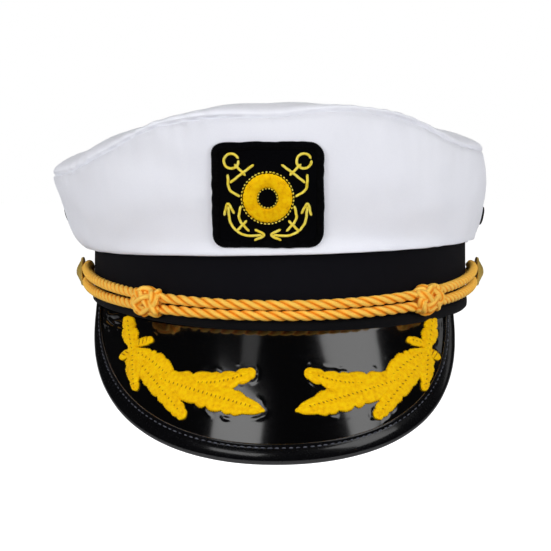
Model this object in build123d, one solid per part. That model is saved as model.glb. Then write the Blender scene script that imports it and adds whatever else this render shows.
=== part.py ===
"""Yacht-captain style peaked cap, in millimetres.

The origin is the centre of the head opening, in the plane of the band's lower edge.
+Z is up, -Y is the front (the visor's side) and +X is the right-hand side as seen from the front.
Every plan outline of the cap is a slot: two half circles joined by straight sides along Y.
"""
from build123d import *
import math
import os

# Head and band: the sweatband's inner outline is about 574 mm round, hat size 57 to 58 cm
BAND_RADIUS = 85.0
BAND_STRAIGHT = 16.0
BAND_TOP = 30.8
BAND_CLOTH = 0.8
STIFFENER_OUTSIDE = 84.0
STIFFENER_INSIDE = 83.2
STIFFENER_TOP = 29.0
STIFFENER_LIFT = 1.0
SWEATBAND_OUTSIDE = 82.0
SWEATBAND_INSIDE = 81.2
SWEATBAND_TOP = 27.0
SWEATBAND_LIFT = 0.5
LABEL_WIDTH = 34.0
LABEL_TOP = 22.0
LABEL_LIFT = 7.0
LABEL_THICK = 0.4
PIPING_OUTSIDE = 85.6
PIPING_HEIGHT = 4.0
PIPING_LIFT = 0.2

# The band's lower edge is an arch along Y: lowest at the front and back, highest at the sides,
# and a little higher on the left than on the right
ARCH_RISE = 5.5
ARCH_ROLL = 1.0
ARCH_REACH = BAND_RADIUS + BAND_STRAIGHT
ARCH_RADIUS = (ARCH_REACH**2 + ARCH_RISE**2) / (2 * ARCH_RISE)

# Crown: the rim's plane is high at the front and leans down to the viewer's left
CROWN_BASE = 31.0
RIM_CENTRE_Z = 69.75
RIM_PITCH = 8.8
RIM_ROLL = 3.4
# share of the way from base to rim, half width, straight half length, centre x, centre y
CROWN_SECTIONS = [
    (0.00, 85.8, 16.0, 0.0, 0.0),
    (0.14, 93.0, 11.4, -1.7, 0.7),
    (0.50, 96.3, 14.3, -2.4, -0.7),
    (1.00, 97.7, 17.5, -5.0, -3.0),
]
# inset from the rim, height above the rim's plane
DOME_SECTIONS = [(0.0, 0.1), (4.0, 4.0), (14.0, 8.0), (38.0, 11.2), (66.0, 12.2)]
CROWN_CLOTH = 1.2
LINING_DEPTH = 2.6
LINING_CLOTH = 0.4
RIM_TAPE_THICK = 0.8
RIM_TAPE_WIDTH = 5.6
RIM_TAPE_CENTRE = -3.4
STAY_THICK = 1.0
STAY_WIDTH = 92.0
STAY_HEIGHT = 40.0
STAY_CORNER = 8.0
STAY_Z = 54.0

# Badge, on the crown's front wall
BADGE_X = -4.9
BADGE_Z = 55.6
BADGE_WIDTH = 44.5
BADGE_HEIGHT = 42.5
BADGE_CORNER = 5.0
BADGE_BORDER = 3.0
RING_Z = 54.8
RING_OUTSIDE = 9.9
RING_INSIDE = 4.0
RING_GAP = 0.3
ANCHOR_LINE = 1.1
FELT_TOP = 1.2
BORDER_TOP = 1.7
STITCH_BOTTOM = 1.25
STITCH_TOP = 1.9

# Vent eyelets, two in each side wall: y and z of each
EYELET_RADIUS = 4.5
EYELET_HOLE = 2.0
EYELET_PLACES = [(-15.0, 45.0), (13.0, 43.0)]
EYELET_CUT = 2.5
BARREL_RADIUS = 2.4
BARREL_DEPTH = 3.6
FLANGE_TOP = 0.9
WASHER_RADIUS = 4.2
WASHER_TOP = -3.1
WASHER_BOTTOM = -3.7

# Visor: an oblique cone that leans out below the band, cut to a full rounded outline in front view
VISOR_X = -3.2
VISOR_RADIUS = 86.0
VISOR_FLARE = 0.12
VISOR_LEAN = 0.62
VISOR_HALF_WIDTH = 78.6
VISOR_DROP = 46.2
# how square each lower corner of the outline is, downwards and sideways; an ellipse has 0.55
VISOR_LEFT_FULLNESS = (0.69, 0.65)
VISOR_RIGHT_FULLNESS = (0.60, 0.82)
VISOR_SLOPE = math.atan(1 / (VISOR_LEAN + VISOR_FLARE))
VISOR_CONE_TOP = -20.0
VISOR_CONE_BOTTOM = 60.0
VISOR_START_Y = -24.0
VISOR_BAND_GAP = 0.3
SKIN_THICK = 0.6
BOARD_THICK = 1.2
VISOR_LINING_THICK = 0.5
BINDING_WIDTH = 6.8
BINDING_THICK = 0.5
LEAF_THICK = 0.8

# Chin cord: two strands, one above the other, each looped half round both button shanks
CORD_DIAMETER = 4.2
CORD_RADIUS = 88.1
CORD_PIVOT_Y = -BAND_STRAIGHT
CORD_PIVOT_Z = 18.4
CORD_TURN = 3.2
CORD_FRONT_Z = 8.9
CORD_FRONT_GAP = 4.3

# Sliding knots, each a saddle over both strands
KNOT_PLACES = {"left": -38.0, "right": 44.0}
KNOT_SWEEP = 9.8
KNOT_INSIDE = 87.0
KNOT_OUTSIDE = 92.8
KNOT_HALF_HEIGHT = 6.1
KNOT_CORNER = 2.0
KNOT_CHANNEL_OUTSIDE = 90.5
KNOT_CHANNEL_HALF = 5.1

# Buttons
BUTTON_RADIUS = 6.6
SHANK_RADIUS = 0.9
SHANK_HOLE = 1.3
BUTTON_BACK_X = 90.4
BUTTON_RIM_X = 90.9
BUTTON_TOP_X = 92.6
BUTTON_SHEET = 0.5
BUTTON_BACK_THICK = 0.4
RETAINER_X = 82.4
RETAINER_THICK = 0.6
RETAINER_RADIUS = 4.0

# Clearances between touching layers, and the size of the shapes that only cut others
GAP = 0.1
SLIT = 0.05
FAR = 400.0
PRISM_START_Y = -60.0
PRISM_REACH = 140.0


def slot(radius, straight):
    """Slot outline, long along Y."""
    return SlotCenterToCenter(2 * straight, 2 * radius, rotation=90)


def arch_cylinder(drop=0.0):
    """The space below the band's arched lower edge."""
    axis_place = Pos(0, 0, ARCH_RISE - ARCH_RADIUS - drop)
    return axis_place * Rot(0, 90 + ARCH_ROLL, 0) * Cylinder(ARCH_RADIUS, FAR)


def band_ring(outside, inside, top, lift=0.0):
    """Upright ring round the head, cut to the arch at its lower edge."""
    outer = extrude(slot(outside, BAND_STRAIGHT), top)
    inner = extrude(slot(inside, BAND_STRAIGHT), top)
    return outer - inner - arch_cylinder(-lift)


def crown_plane(share, rise=0.0):
    """Plane of the crown's section at a share of the way from its base to its rim."""
    height = CROWN_BASE + share * (RIM_CENTRE_Z - CROWN_BASE)
    tilt = Rot(-RIM_PITCH * share, -RIM_ROLL * share, 0)
    return Pos(0, 0, height) * tilt * Pos(0, 0, rise)


def crown_body(offset):
    """Solid crown below the rim, with its wall moved out by offset."""
    faces = []
    for share, half_width, straight, centre_x, centre_y in CROWN_SECTIONS:
        outline = Pos(centre_x, centre_y) * slot(half_width + offset, straight)
        faces.append(crown_plane(share) * outline)
    return loft(faces)


def dome_body(offset):
    """Solid dome above the rim's plane, with its surface moved in by offset."""
    _, half_width, straight, centre_x, centre_y = CROWN_SECTIONS[-1]
    faces = []
    for inset, rise in DOME_SECTIONS:
        sink = offset if inset else 0.0
        outline = Pos(centre_x, centre_y) * slot(half_width - inset - offset, straight)
        faces.append(crown_plane(1.0, rise - sink) * outline)
    return loft(faces)


def crown_shell(outside, inside):
    """Wall of the crown between two offsets of its outer surface."""
    return crown_body(outside) - crown_body(inside)


def half_space(side):
    """A large box in front of (side -1) or behind (side +1) the side seams."""
    return Pos(0, side * (FAR / 2 + GAP), 0) * Box(FAR, FAR, FAR)


def front_prism(outline, start_y=PRISM_START_Y):
    """Outline drawn in the X-Z plane, extruded towards the front."""
    return Pos(0, start_y, 0) * extrude(Plane.XZ * outline, PRISM_REACH)


def side_rod(radius, place_y, place_z, side):
    """Round rod along X through one side wall."""
    half = FAR / 2
    return Pos(side * half, place_y, place_z) * Rot(0, 90, 0) * Cylinder(radius, FAR)


def save(name, shape):
    """Write one node."""
    export_step(shape, f"parts/{name}.step")


# --- band -------------------------------------------------------------------------------------


def shank_holes():
    """Clearance holes for both button shanks."""
    return Pos(0, CORD_PIVOT_Y, CORD_PIVOT_Z) * Rot(0, 90, 0) * Cylinder(SHANK_HOLE, FAR)


def make_band():
    """Band cloth, stiffener, lower piping, sweatband and its blank label."""
    cloth = band_ring(BAND_RADIUS, BAND_RADIUS - BAND_CLOTH, BAND_TOP)
    save("hat_band", cloth - shank_holes())
    stiffener = band_ring(STIFFENER_OUTSIDE, STIFFENER_INSIDE, STIFFENER_TOP, STIFFENER_LIFT)
    save("band_stiffener", stiffener - shank_holes())
    piping = band_ring(PIPING_OUTSIDE, BAND_RADIUS + SLIT, BAND_TOP, PIPING_LIFT)
    save("band_lower_piping", piping & arch_cylinder(-PIPING_HEIGHT))
    sweatband = band_ring(SWEATBAND_OUTSIDE, SWEATBAND_INSIDE, SWEATBAND_TOP, SWEATBAND_LIFT)
    save("sweatband", sweatband)
    label_outside = SWEATBAND_INSIDE - SLIT
    label = band_ring(label_outside, label_outside - LABEL_THICK, LABEL_TOP, LABEL_LIFT)
    save("size_label", label & Pos(0, FAR / 2, 0) * Box(LABEL_WIDTH, FAR, FAR))


# --- crown ------------------------------------------------------------------------------------


def eyelet_rods(radius, side):
    """Both rods of one side wall's eyelets."""
    return [side_rod(radius, y, z, side) for y, z in EYELET_PLACES]


def without_eyelets(shape):
    """The shape with all four eyelet holes cut through it."""
    for side in (-1, 1):
        for rod in eyelet_rods(EYELET_CUT, side):
            shape = shape - rod
    return shape


def make_crown():
    """Crown walls, top, rim tape, front stay and linings."""
    wall = without_eyelets(crown_shell(0.0, -CROWN_CLOTH))
    save("crown_front_panel", wall & half_space(-1))
    save("crown_back_panel", wall & half_space(1))
    save("crown_top_panel", dome_body(0.0) - dome_body(CROWN_CLOTH))

    cloth_back = -CROWN_CLOTH - GAP
    tape_slab = crown_plane(1.0, RIM_TAPE_CENTRE) * Box(FAR, FAR, RIM_TAPE_WIDTH)
    save("crown_rim_tape", crown_shell(cloth_back, cloth_back - RIM_TAPE_THICK) & tape_slab)

    stay_outline = Pos(BADGE_X, STAY_Z) * RectangleRounded(STAY_WIDTH, STAY_HEIGHT, STAY_CORNER)
    stay = crown_shell(cloth_back, cloth_back - STAY_THICK)
    save("crown_front_stay", stay & front_prism(stay_outline))

    lining = crown_shell(-LINING_DEPTH, -LINING_DEPTH - LINING_CLOTH)
    save("crown_lining_side", without_eyelets(lining))
    top_lining = dome_body(LINING_DEPTH) - dome_body(LINING_DEPTH + LINING_CLOTH)
    above_rim = crown_plane(1.0, FAR / 2 + 2 * GAP) * Box(FAR, FAR, FAR)
    save("crown_lining_top", top_lining & above_rim)


def make_eyelets():
    """Flanged eyelets outside and their washers inside, one node of each for each side."""
    flange_layer = crown_shell(FLANGE_TOP, SLIT)
    barrel_layer = crown_shell(FLANGE_TOP, -BARREL_DEPTH)
    washer_layer = crown_shell(WASHER_TOP, WASHER_BOTTOM)
    for name, side in (("left", -1), ("right", 1)):
        eyelets = []
        washers = []
        for y, z in EYELET_PLACES:
            hole = side_rod(EYELET_HOLE, y, z, side)
            barrel = barrel_layer & side_rod(BARREL_RADIUS, y, z, side)
            flange = flange_layer & side_rod(EYELET_RADIUS, y, z, side)
            eyelets.append(flange + barrel - hole)
            washer = washer_layer & side_rod(WASHER_RADIUS, y, z, side)
            washers.append(washer - side_rod(EYELET_CUT, y, z, side))
        save(f"vent_eyelets_{name}", Compound(children=[e.solid() for e in eyelets]))
        save(f"vent_washers_{name}", Compound(children=[w.solid() for w in washers]))


# --- badge ------------------------------------------------------------------------------------


def badge_outline(inset):
    """Rounded outline of the badge in front view; the leaning wall shortens its height."""
    corner = max(BADGE_CORNER - inset, 1.0)
    width = BADGE_WIDTH - 2 * inset
    height = BADGE_HEIGHT - 2 * inset
    return Pos(BADGE_X, BADGE_Z) * RectangleRounded(width, height, corner)


def bar(start, end, width):
    """Straight stitched line with round ends."""
    return SlotCenterPoint(
        ((start[0] + end[0]) / 2, (start[1] + end[1]) / 2), end, width
    )


def anchor(lean):
    """One plain anchor that leans to one side (+1 or -1), drawn about the badge's centre."""
    head = (lean * 13.5, 13.0)
    crown = (-lean * 12.0, -13.5)
    shank = bar(head, crown, ANCHOR_LINE)
    stock = bar((lean * 5.5, 14.5), (lean * 14.5, 6.0), ANCHOR_LINE)
    eye = Pos(lean * 15.0, 14.6) * (Circle(2.6) - Circle(1.6))
    outer_arm = bar(crown, (-lean * 15.5, -3.5), ANCHOR_LINE)
    inner_arm = bar(crown, (-lean * 2.5, -16.0), ANCHOR_LINE)
    return shank + stock + eye + outer_arm + inner_arm


def make_badge():
    """Felt ground, raised border, life ring and crossed anchors, all bent to the wall."""
    ground = crown_shell(FELT_TOP, GAP) & front_prism(badge_outline(BADGE_BORDER + SLIT))
    save("badge_patch", ground)
    border = badge_outline(0.0) - badge_outline(BADGE_BORDER)
    save("badge_border", crown_shell(BORDER_TOP, GAP) & front_prism(border))

    stitch_layer = crown_shell(STITCH_TOP, STITCH_BOTTOM)
    ring = Pos(BADGE_X, RING_Z) * (Circle(RING_OUTSIDE) - Circle(RING_INSIDE))
    save("badge_ring", stitch_layer & front_prism(ring))
    anchors = Pos(BADGE_X, RING_Z) * (anchor(1) + anchor(-1) - Circle(RING_OUTSIDE + RING_GAP))
    save("badge_anchors", stitch_layer & front_prism(anchors))


# --- visor ------------------------------------------------------------------------------------


def visor_cone(shift):
    """Solid oblique cone below the band, moved up by shift."""
    faces = []
    for drop in (VISOR_CONE_TOP, VISOR_CONE_BOTTOM):
        centre_y = -BAND_STRAIGHT - VISOR_LEAN * drop
        circle = Circle(VISOR_RADIUS + VISOR_FLARE * drop)
        faces.append(Pos(0, centre_y, shift - drop) * circle)
    return loft(faces, ruled=True)


def visor_layer(top, bottom):
    """Layer of the visor between two depths along its normal."""
    lift = 1 / math.cos(VISOR_SLOPE)
    return visor_cone(top * lift) - visor_cone(bottom * lift)


def visor_corner(side, half_width, drop, fullness):
    """Curve of the outline's lower corner on one side (-1 left, +1 right), from the side to the middle."""
    down, sideways = fullness
    side_x = side * half_width
    return Bezier((side_x, 0), (side_x, -down * drop), (sideways * side_x, -drop), (0, -drop))


def visor_outline(inset):
    """Front-view outline: two full rounded corners with straight sides above them."""
    half_width = VISOR_HALF_WIDTH - inset
    drop = VISOR_DROP - inset
    top_left = (-half_width, -VISOR_CONE_TOP)
    top_right = (half_width, -VISOR_CONE_TOP)
    edges = Curve() + [
        visor_corner(-1, half_width, drop, VISOR_LEFT_FULLNESS),
        visor_corner(1, half_width, drop, VISOR_RIGHT_FULLNESS),
        Polyline((-half_width, 0), top_left, top_right, (half_width, 0)),
    ]
    return Pos(VISOR_X, 0) * make_face(edges)


def visor_piece(top, bottom, outline):
    """One layer of the visor, cut to an outline and to the band's arch."""
    layer = visor_layer(top, bottom) & front_prism(outline, VISOR_START_Y)
    return layer & arch_cylinder(VISOR_BAND_GAP)


def leaf(base, tip, width):
    """Pointed leaf between two arcs."""
    edges = Curve() + [SagittaArc(base, tip, width / 2), SagittaArc(tip, base, width / 2)]
    return make_face(edges)


def sprig(side):
    """Leaf sprig of one side (-1 left, +1 right), drawn in front view."""
    leaves = [
        ((-61.0, -13.4), (-64.8, 3.4), 8.0),
        ((-62.5, -10.4), (-54.0, -4.5), 5.0),
        ((-58.5, -9.4), (-67.0, -14.2), 5.0),
        ((-65.5, -6.3), (-38.5, -23.0), 13.0),
        ((-59.5, -12.5), (-57.5, -24.8), 7.0),
        ((-53.5, -15.6), (-37.5, -31.6), 9.0),
        ((-45.5, -18.3), (-9.2, -14.5), 8.0),
        ((-45.5, -20.0), (-5.9, -28.8), 10.0),
    ]
    outline = Sketch()
    for base, tip, width in leaves:
        mirrored_base = (-side * base[0], base[1])
        mirrored_tip = (-side * tip[0], tip[1])
        outline += leaf(mirrored_base, mirrored_tip, side * -width)
    return outline


def make_visor():
    """Patent skin, board, lining, edge binding and the two embroidered sprigs."""
    channel = BINDING_THICK + GAP
    board_top = -SKIN_THICK - SLIT
    board_bottom = board_top - BOARD_THICK
    lining_top = board_bottom - SLIT
    lining_bottom = lining_top - VISOR_LINING_THICK
    edge = visor_outline(channel)
    save("visor_skin", visor_piece(0.0, -SKIN_THICK, edge))
    save("visor_board", visor_piece(board_top, board_bottom, edge))
    save("visor_lining", visor_piece(lining_top, lining_bottom, edge))

    rim = visor_outline(0.0) - visor_outline(BINDING_WIDTH)
    binding = visor_piece(channel, lining_bottom - channel, rim)
    filled = front_prism(visor_outline(channel - SLIT), 0.0)
    save("visor_edge_binding", binding - (visor_layer(SLIT, lining_bottom - SLIT) & filled))

    inside_binding = visor_outline(BINDING_WIDTH + GAP)
    for name, side in (("left", -1), ("right", 1)):
        outline = sprig(side) & inside_binding
        save(f"visor_leaf_{name}", visor_piece(GAP + LEAF_THICK, GAP, outline))


# --- chin cord --------------------------------------------------------------------------------


def strand_slope(side):
    """Slope angle of one strand's plane: +1 is the upper strand, -1 the lower."""
    front_z = CORD_FRONT_Z + side * CORD_FRONT_GAP / 2
    slope = 0.1
    for _ in range(20):
        rise = CORD_PIVOT_Z + side * CORD_TURN * math.cos(slope) - front_z
        slope = math.asin(rise / CORD_RADIUS)
    return slope


def strand(side):
    """One strand: behind one shank, round the front, and behind the other shank."""
    slope = strand_slope(side)
    top_y = CORD_PIVOT_Y - side * CORD_TURN * math.sin(slope)
    top_z = CORD_PIVOT_Z + side * CORD_TURN * math.cos(slope)
    front_y = top_y - CORD_RADIUS * math.cos(slope)
    front_z = top_z - CORD_RADIUS * math.sin(slope)
    round_y = CORD_PIVOT_Y + CORD_TURN * math.cos(math.radians(45))
    round_z = CORD_PIVOT_Z + side * CORD_TURN * math.sin(math.radians(45))
    left_back = (-CORD_RADIUS, CORD_PIVOT_Y + CORD_TURN, CORD_PIVOT_Z)
    right_back = (CORD_RADIUS, CORD_PIVOT_Y + CORD_TURN, CORD_PIVOT_Z)
    turn_in = ThreePointArc(left_back, (-CORD_RADIUS, round_y, round_z), (-CORD_RADIUS, top_y, top_z))
    front = ThreePointArc(
        (-CORD_RADIUS, top_y, top_z), (0, front_y, front_z), (CORD_RADIUS, top_y, top_z)
    )
    turn_out = ThreePointArc((CORD_RADIUS, top_y, top_z), (CORD_RADIUS, round_y, round_z), right_back)
    path = Wire([turn_in, front, turn_out])
    section = Plane(origin=left_back, z_dir=path % 0) * Circle(CORD_DIAMETER / 2)
    tube = sweep(section, path=path)
    ideal = math.pi * (CORD_DIAMETER / 2) ** 2 * path.length
    print(f"strand {side:+d}: length {path.length:.1f} mm, volume {tube.volume / ideal:.4f} of ideal")
    return tube


def middle_slope():
    """Slope of the plane halfway between the strands, in degrees."""
    return math.degrees((strand_slope(1) + strand_slope(-1)) / 2)


def knot(place):
    """Knot saddle at an angle from the front, positive towards the right."""
    wall = Pos((KNOT_INSIDE + KNOT_OUTSIDE) / 2, 0)
    outline = wall * RectangleRounded(KNOT_OUTSIDE - KNOT_INSIDE, 2 * KNOT_HALF_HEIGHT, KNOT_CORNER)
    depth = KNOT_OUTSIDE - KNOT_INSIDE
    channel = Pos(KNOT_CHANNEL_OUTSIDE - depth / 2, 0) * Rectangle(depth, 2 * KNOT_CHANNEL_HALF)
    section = Plane.XZ * (outline - channel)
    saddle = revolve(section, Axis.Z, KNOT_SWEEP)
    turn = Rot(0, 0, -90 + place - KNOT_SWEEP / 2)
    return Pos(0, CORD_PIVOT_Y, CORD_PIVOT_Z) * Rot(middle_slope(), 0, 0) * turn * saddle


def make_cord():
    """Both strands and both knots."""
    save("chin_cord_upper", strand(1))
    save("chin_cord_lower", strand(-1))
    for name, place in KNOT_PLACES.items():
        save(f"knot_{name}", knot(place))


# --- buttons ----------------------------------------------------------------------------------


def dome_arc(rim, top):
    """Arc of a dome's section, from its top on the axis to its rim."""
    middle_share = 0.6
    middle_top = top - middle_share**2 * (top - BUTTON_RIM_X)
    return ThreePointArc((0, top), (rim * middle_share, middle_top), (rim, BUTTON_RIM_X))


def button_pieces():
    """Shell, back with shank, and retainer of a button, along +Z from the cap's middle plane."""
    outer_rim = BUTTON_RADIUS
    inner_rim = BUTTON_RADIUS - BUTTON_SHEET
    inner_top = BUTTON_TOP_X - BUTTON_SHEET
    outline = Curve() + [
        dome_arc(outer_rim, BUTTON_TOP_X),
        Line((outer_rim, BUTTON_RIM_X), (outer_rim, BUTTON_BACK_X)),
        Line((outer_rim, BUTTON_BACK_X), (inner_rim, BUTTON_BACK_X)),
        Line((inner_rim, BUTTON_BACK_X), (inner_rim, BUTTON_RIM_X)),
        dome_arc(inner_rim, inner_top),
        Line((0, inner_top), (0, BUTTON_TOP_X)),
    ]
    shell = revolve(Plane.XZ * make_face(outline), Axis.Z)
    back_middle = BUTTON_BACK_X + BUTTON_BACK_THICK / 2
    back = Pos(0, 0, back_middle) * Cylinder(inner_rim - GAP, BUTTON_BACK_THICK)
    shank_length = BUTTON_BACK_X - RETAINER_X + GAP
    shank = Pos(0, 0, RETAINER_X + shank_length / 2) * Cylinder(SHANK_RADIUS, shank_length)
    retainer = Pos(0, 0, RETAINER_X + RETAINER_THICK / 2) * Cylinder(RETAINER_RADIUS, RETAINER_THICK)
    bore = Pos(0, 0, RETAINER_X) * Cylinder(SHANK_RADIUS + SLIT, 4 * RETAINER_THICK)
    return {"shell": shell, "back": back + shank, "retainer": retainer - bore}


def make_buttons():
    """Both buttons, each as three pieces."""
    for name, side in (("left", -1), ("right", 1)):
        for piece, shape in button_pieces().items():
            placed = Pos(0, CORD_PIVOT_Y, CORD_PIVOT_Z) * Rot(0, side * 90, 0) * shape
            save(f"button_{piece}_{name}", placed)


os.makedirs("parts", exist_ok=True)
make_band()
make_crown()
make_eyelets()
make_badge()
make_visor()
make_cord()
make_buttons()
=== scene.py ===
import math

import bmesh
import bpy
import numpy as np
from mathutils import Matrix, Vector, noise
from mathutils.bvhtree import BVHTree
from mathutils.kdtree import KDTree


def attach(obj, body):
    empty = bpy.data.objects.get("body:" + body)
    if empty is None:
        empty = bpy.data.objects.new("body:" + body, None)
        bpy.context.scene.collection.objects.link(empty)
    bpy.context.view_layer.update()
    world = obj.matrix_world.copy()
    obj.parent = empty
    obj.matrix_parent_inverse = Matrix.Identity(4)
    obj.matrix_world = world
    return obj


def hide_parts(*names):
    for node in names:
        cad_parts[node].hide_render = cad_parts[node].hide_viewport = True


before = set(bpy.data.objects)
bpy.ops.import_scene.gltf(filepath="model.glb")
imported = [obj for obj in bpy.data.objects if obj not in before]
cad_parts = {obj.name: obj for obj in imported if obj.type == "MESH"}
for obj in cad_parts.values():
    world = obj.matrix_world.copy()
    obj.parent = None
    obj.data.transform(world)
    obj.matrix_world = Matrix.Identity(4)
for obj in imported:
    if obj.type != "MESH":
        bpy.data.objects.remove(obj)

# Everything but lights and camera is in millimetres until a mesh is made; MM turns it into metres.
# Angles round the cap are in degrees from the front, positive towards the viewer's right (+X).
MM = 0.001
SIDES = {"left": -1, "right": 1}
FLAT = np.array((1, 1, 0))
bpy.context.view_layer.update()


# --- shape tools ------------------------------------------------------------------------------


def new_object(name, data):
    """A new object in the scene."""
    made = bpy.data.objects.new(name, data)
    bpy.context.scene.collection.objects.link(made)
    return made


def quads(index):
    """Faces between neighbouring points of a grid of point numbers."""
    corners = [index[:-1, :-1], index[:-1, 1:], index[1:, 1:], index[1:, :-1]]
    return np.stack(corners, axis=-1).reshape(-1, 4).tolist()


class Shape:
    """Points and faces of one piece, with a thread coordinate (along, across, depth) at each point."""

    def __init__(self):
        self.points = []
        self.threads = []
        self.faces = []
        self.count = 0

    def grid(self, points, threads=None, round_rows=False, round_cols=False, caps=False):
        """Adds a grid of points; a closed direction joins its last line to its first."""
        rows, cols = points.shape[:2]
        if threads is None:
            threads = np.zeros_like(points)
        first = self.count
        self.points.append(points.reshape(-1, 3))
        self.threads.append(threads.reshape(-1, 3))
        self.count += rows * cols
        index = first + np.arange(rows * cols).reshape(rows, cols)
        if round_rows:
            index = np.vstack([index, index[:1]])
        if round_cols:
            index = np.hstack([index, index[:, :1]])
        self.faces += quads(index)
        if caps:
            for line in (index[0, :cols], index[-1, :cols]):
                self.fan(line, points.reshape(-1, 3)[line - first].mean(0))
        return index

    def fan(self, line, centre):
        """Closes a ring of points with triangles to a centre."""
        self.points.append(np.array(centre).reshape(1, 3))
        self.threads.append(np.zeros((1, 3)))
        hub = self.count
        self.count += 1
        for a, b in zip(line, np.roll(line, -1)):
            self.faces.append([int(a), int(b), hub])

    def make(self, name, material, replaces=(), solid=0.0, facing=None, body="cap", slot=None):
        """The finished object, riding on its body. An open sheet faces away from a point.

        Its slot is named after its material, whose name may have a number that Blender added. The slot
        argument is not used.
        """
        mesh = bpy.data.meshes.new(name)
        points = np.vstack(self.points)
        mesh.from_pydata((points * MM).tolist(), [], self.faces)
        thread = mesh.attributes.new("thread", "FLOAT_VECTOR", "POINT")
        thread.data.foreach_set("vector", np.vstack(self.threads).ravel().astype(np.float32))
        work = bmesh.new()
        work.from_mesh(mesh)
        bmesh.ops.recalc_face_normals(work, faces=work.faces)
        if facing is not None:
            centre = Vector(facing) * MM
            outward = sum(f.normal.dot(f.calc_center_median() - centre) for f in work.faces)
            if outward < 0:
                bmesh.ops.reverse_faces(work, faces=work.faces)
        work.to_mesh(mesh)
        work.free()
        mesh.shade_smooth()
        mesh.materials.append(material)
        piece = new_object(name, mesh)
        if solid:
            shell = piece.modifiers.new("cloth", "SOLIDIFY")
            shell.thickness = solid * MM
            shell.offset = -1.0
        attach(piece, body)
        if replaces:
            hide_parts(*replaces)
        return piece


def sheet_piece(name, material, node, points, threads, solid, facing, joined=True, filled=False):
    """A sheet in place of a CAD node; joined meets itself round the cap, filled closes its last row."""
    shape = Shape()
    index = shape.grid(points, threads, round_cols=joined)
    if filled:
        shape.fan(index[-1, :-1], points[-1].mean(0))
    return shape.make(name, material, [node], solid, facing)


def thread_grid(along, across, depth=0.0):
    """Thread coordinates of a grid, each part broadcast to the grid's size."""
    return np.stack(np.broadcast_arrays(along, across, depth), axis=-1)


def circle(count):
    """Angles round a closed ring."""
    return np.arange(count) * 2 * math.pi / count


def smooth(x):
    """Smooth step from 0 to 1."""
    x = np.clip(x, 0.0, 1.0)
    return x * x * (3 - 2 * x)


def spline(knots, steps):
    """Catmull-Rom curves through knots (count, ..., 3), sampled at steps from 0 to 1."""
    knots = np.asarray(knots, float)
    padded = np.concatenate([2 * knots[:1] - knots[1:2], knots, 2 * knots[-1:] - knots[-2:-1]])
    at = np.asarray(steps) * (len(knots) - 1)
    i = np.minimum(at.astype(int), len(knots) - 2)
    t = (at - i).reshape((-1,) + (1,) * (knots.ndim - 1))
    a, b, c, d = (padded[i + k] for k in range(4))
    return 0.5 * (2 * b + (c - a) * t + (2 * a - 5 * b + 4 * c - d) * t**2 + (3 * b - a - 3 * c + d) * t**3)


def lengths(line):
    """Distance along a line of points, from 0."""
    steps = np.linalg.norm(np.diff(line, axis=0), axis=1)
    return np.concatenate([[0.0], np.cumsum(steps)])


def resample(line, count):
    """The line again, with evenly spaced points."""
    along = lengths(line)
    at = np.linspace(0, along[-1], count)
    return np.stack([np.interp(at, along, line[:, k]) for k in range(3)], axis=1)


def unit(vectors):
    """Vectors of length 1."""
    return vectors / np.maximum(np.linalg.norm(vectors, axis=-1, keepdims=True), 1e-9)


def normals_of(points, round_cols=False):
    """Unit normals of a grid of points."""
    if round_cols:
        wide = np.concatenate([points[:, -1:], points, points[:, :1]], axis=1)
        across = (wide[:, 2:] - wide[:, :-2]) / 2
    else:
        across = np.gradient(points, axis=1)
    along = np.gradient(points, axis=0)
    return unit(np.cross(across, along))


def noise_at(points, size, seed):
    """Smooth noise from about -1 to 1, with features of that size."""
    shift = Vector((seed * 17.3, seed * 5.1, seed * 9.7))
    flat = points.reshape(-1, 3) / size
    values = [noise.noise(Vector(p) + shift) for p in flat]
    return np.array(values).reshape(points.shape[:-1])


def roughened(points, amount, size, seed, direction):
    """The points again, moved by noise along a direction."""
    return points + (amount * noise_at(points, size, seed))[..., None] * direction


def line_frame(line, side, closed=False):
    """Two directions across a line at each point: towards side, and square to that."""
    if closed:
        tangent = unit(np.roll(line, -1, axis=0) - np.roll(line, 1, axis=0))
    else:
        tangent = unit(np.gradient(line, axis=0))
    out = unit(side - (side * tangent).sum(1, keepdims=True) * tangent)
    return out, np.cross(tangent, out)


def tube(shape, line, radius, side, segments=10, closed=False, flat=1.0):
    """Sweeps a round section along a line of points; side is the section's outward direction."""
    out, up = line_frame(line, side, closed)
    angle = circle(segments)
    reach = np.broadcast_to(np.asarray(radius, float).reshape(-1, 1, 1), (len(line), 1, 1))
    ring = np.cos(angle)[None, :, None] * out[:, None] * flat + np.sin(angle)[None, :, None] * up[:, None]
    threads = thread_grid(lengths(line)[:, None], (angle * np.mean(radius))[None], np.cos(angle)[None])
    shape.grid(line[:, None] + reach * ring, threads, round_rows=closed, round_cols=True, caps=not closed)


# --- material tools ---------------------------------------------------------------------------


def linear(colour):
    """Shader colour from a hex colour."""
    values = [int(colour[i : i + 2], 16) / 255 for i in (1, 3, 5)]
    return [v / 12.92 if v <= 0.04045 else ((v + 0.055) / 1.055) ** 2.4 for v in values] + [1.0]


def set_stops(ramp, stops):
    """Places and colours of a colour ramp."""
    while len(ramp.elements) < len(stops):
        ramp.elements.new(0.5)
    for element, (place, colour) in zip(ramp.elements, stops):
        element.position = place
        element.color = colour


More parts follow.
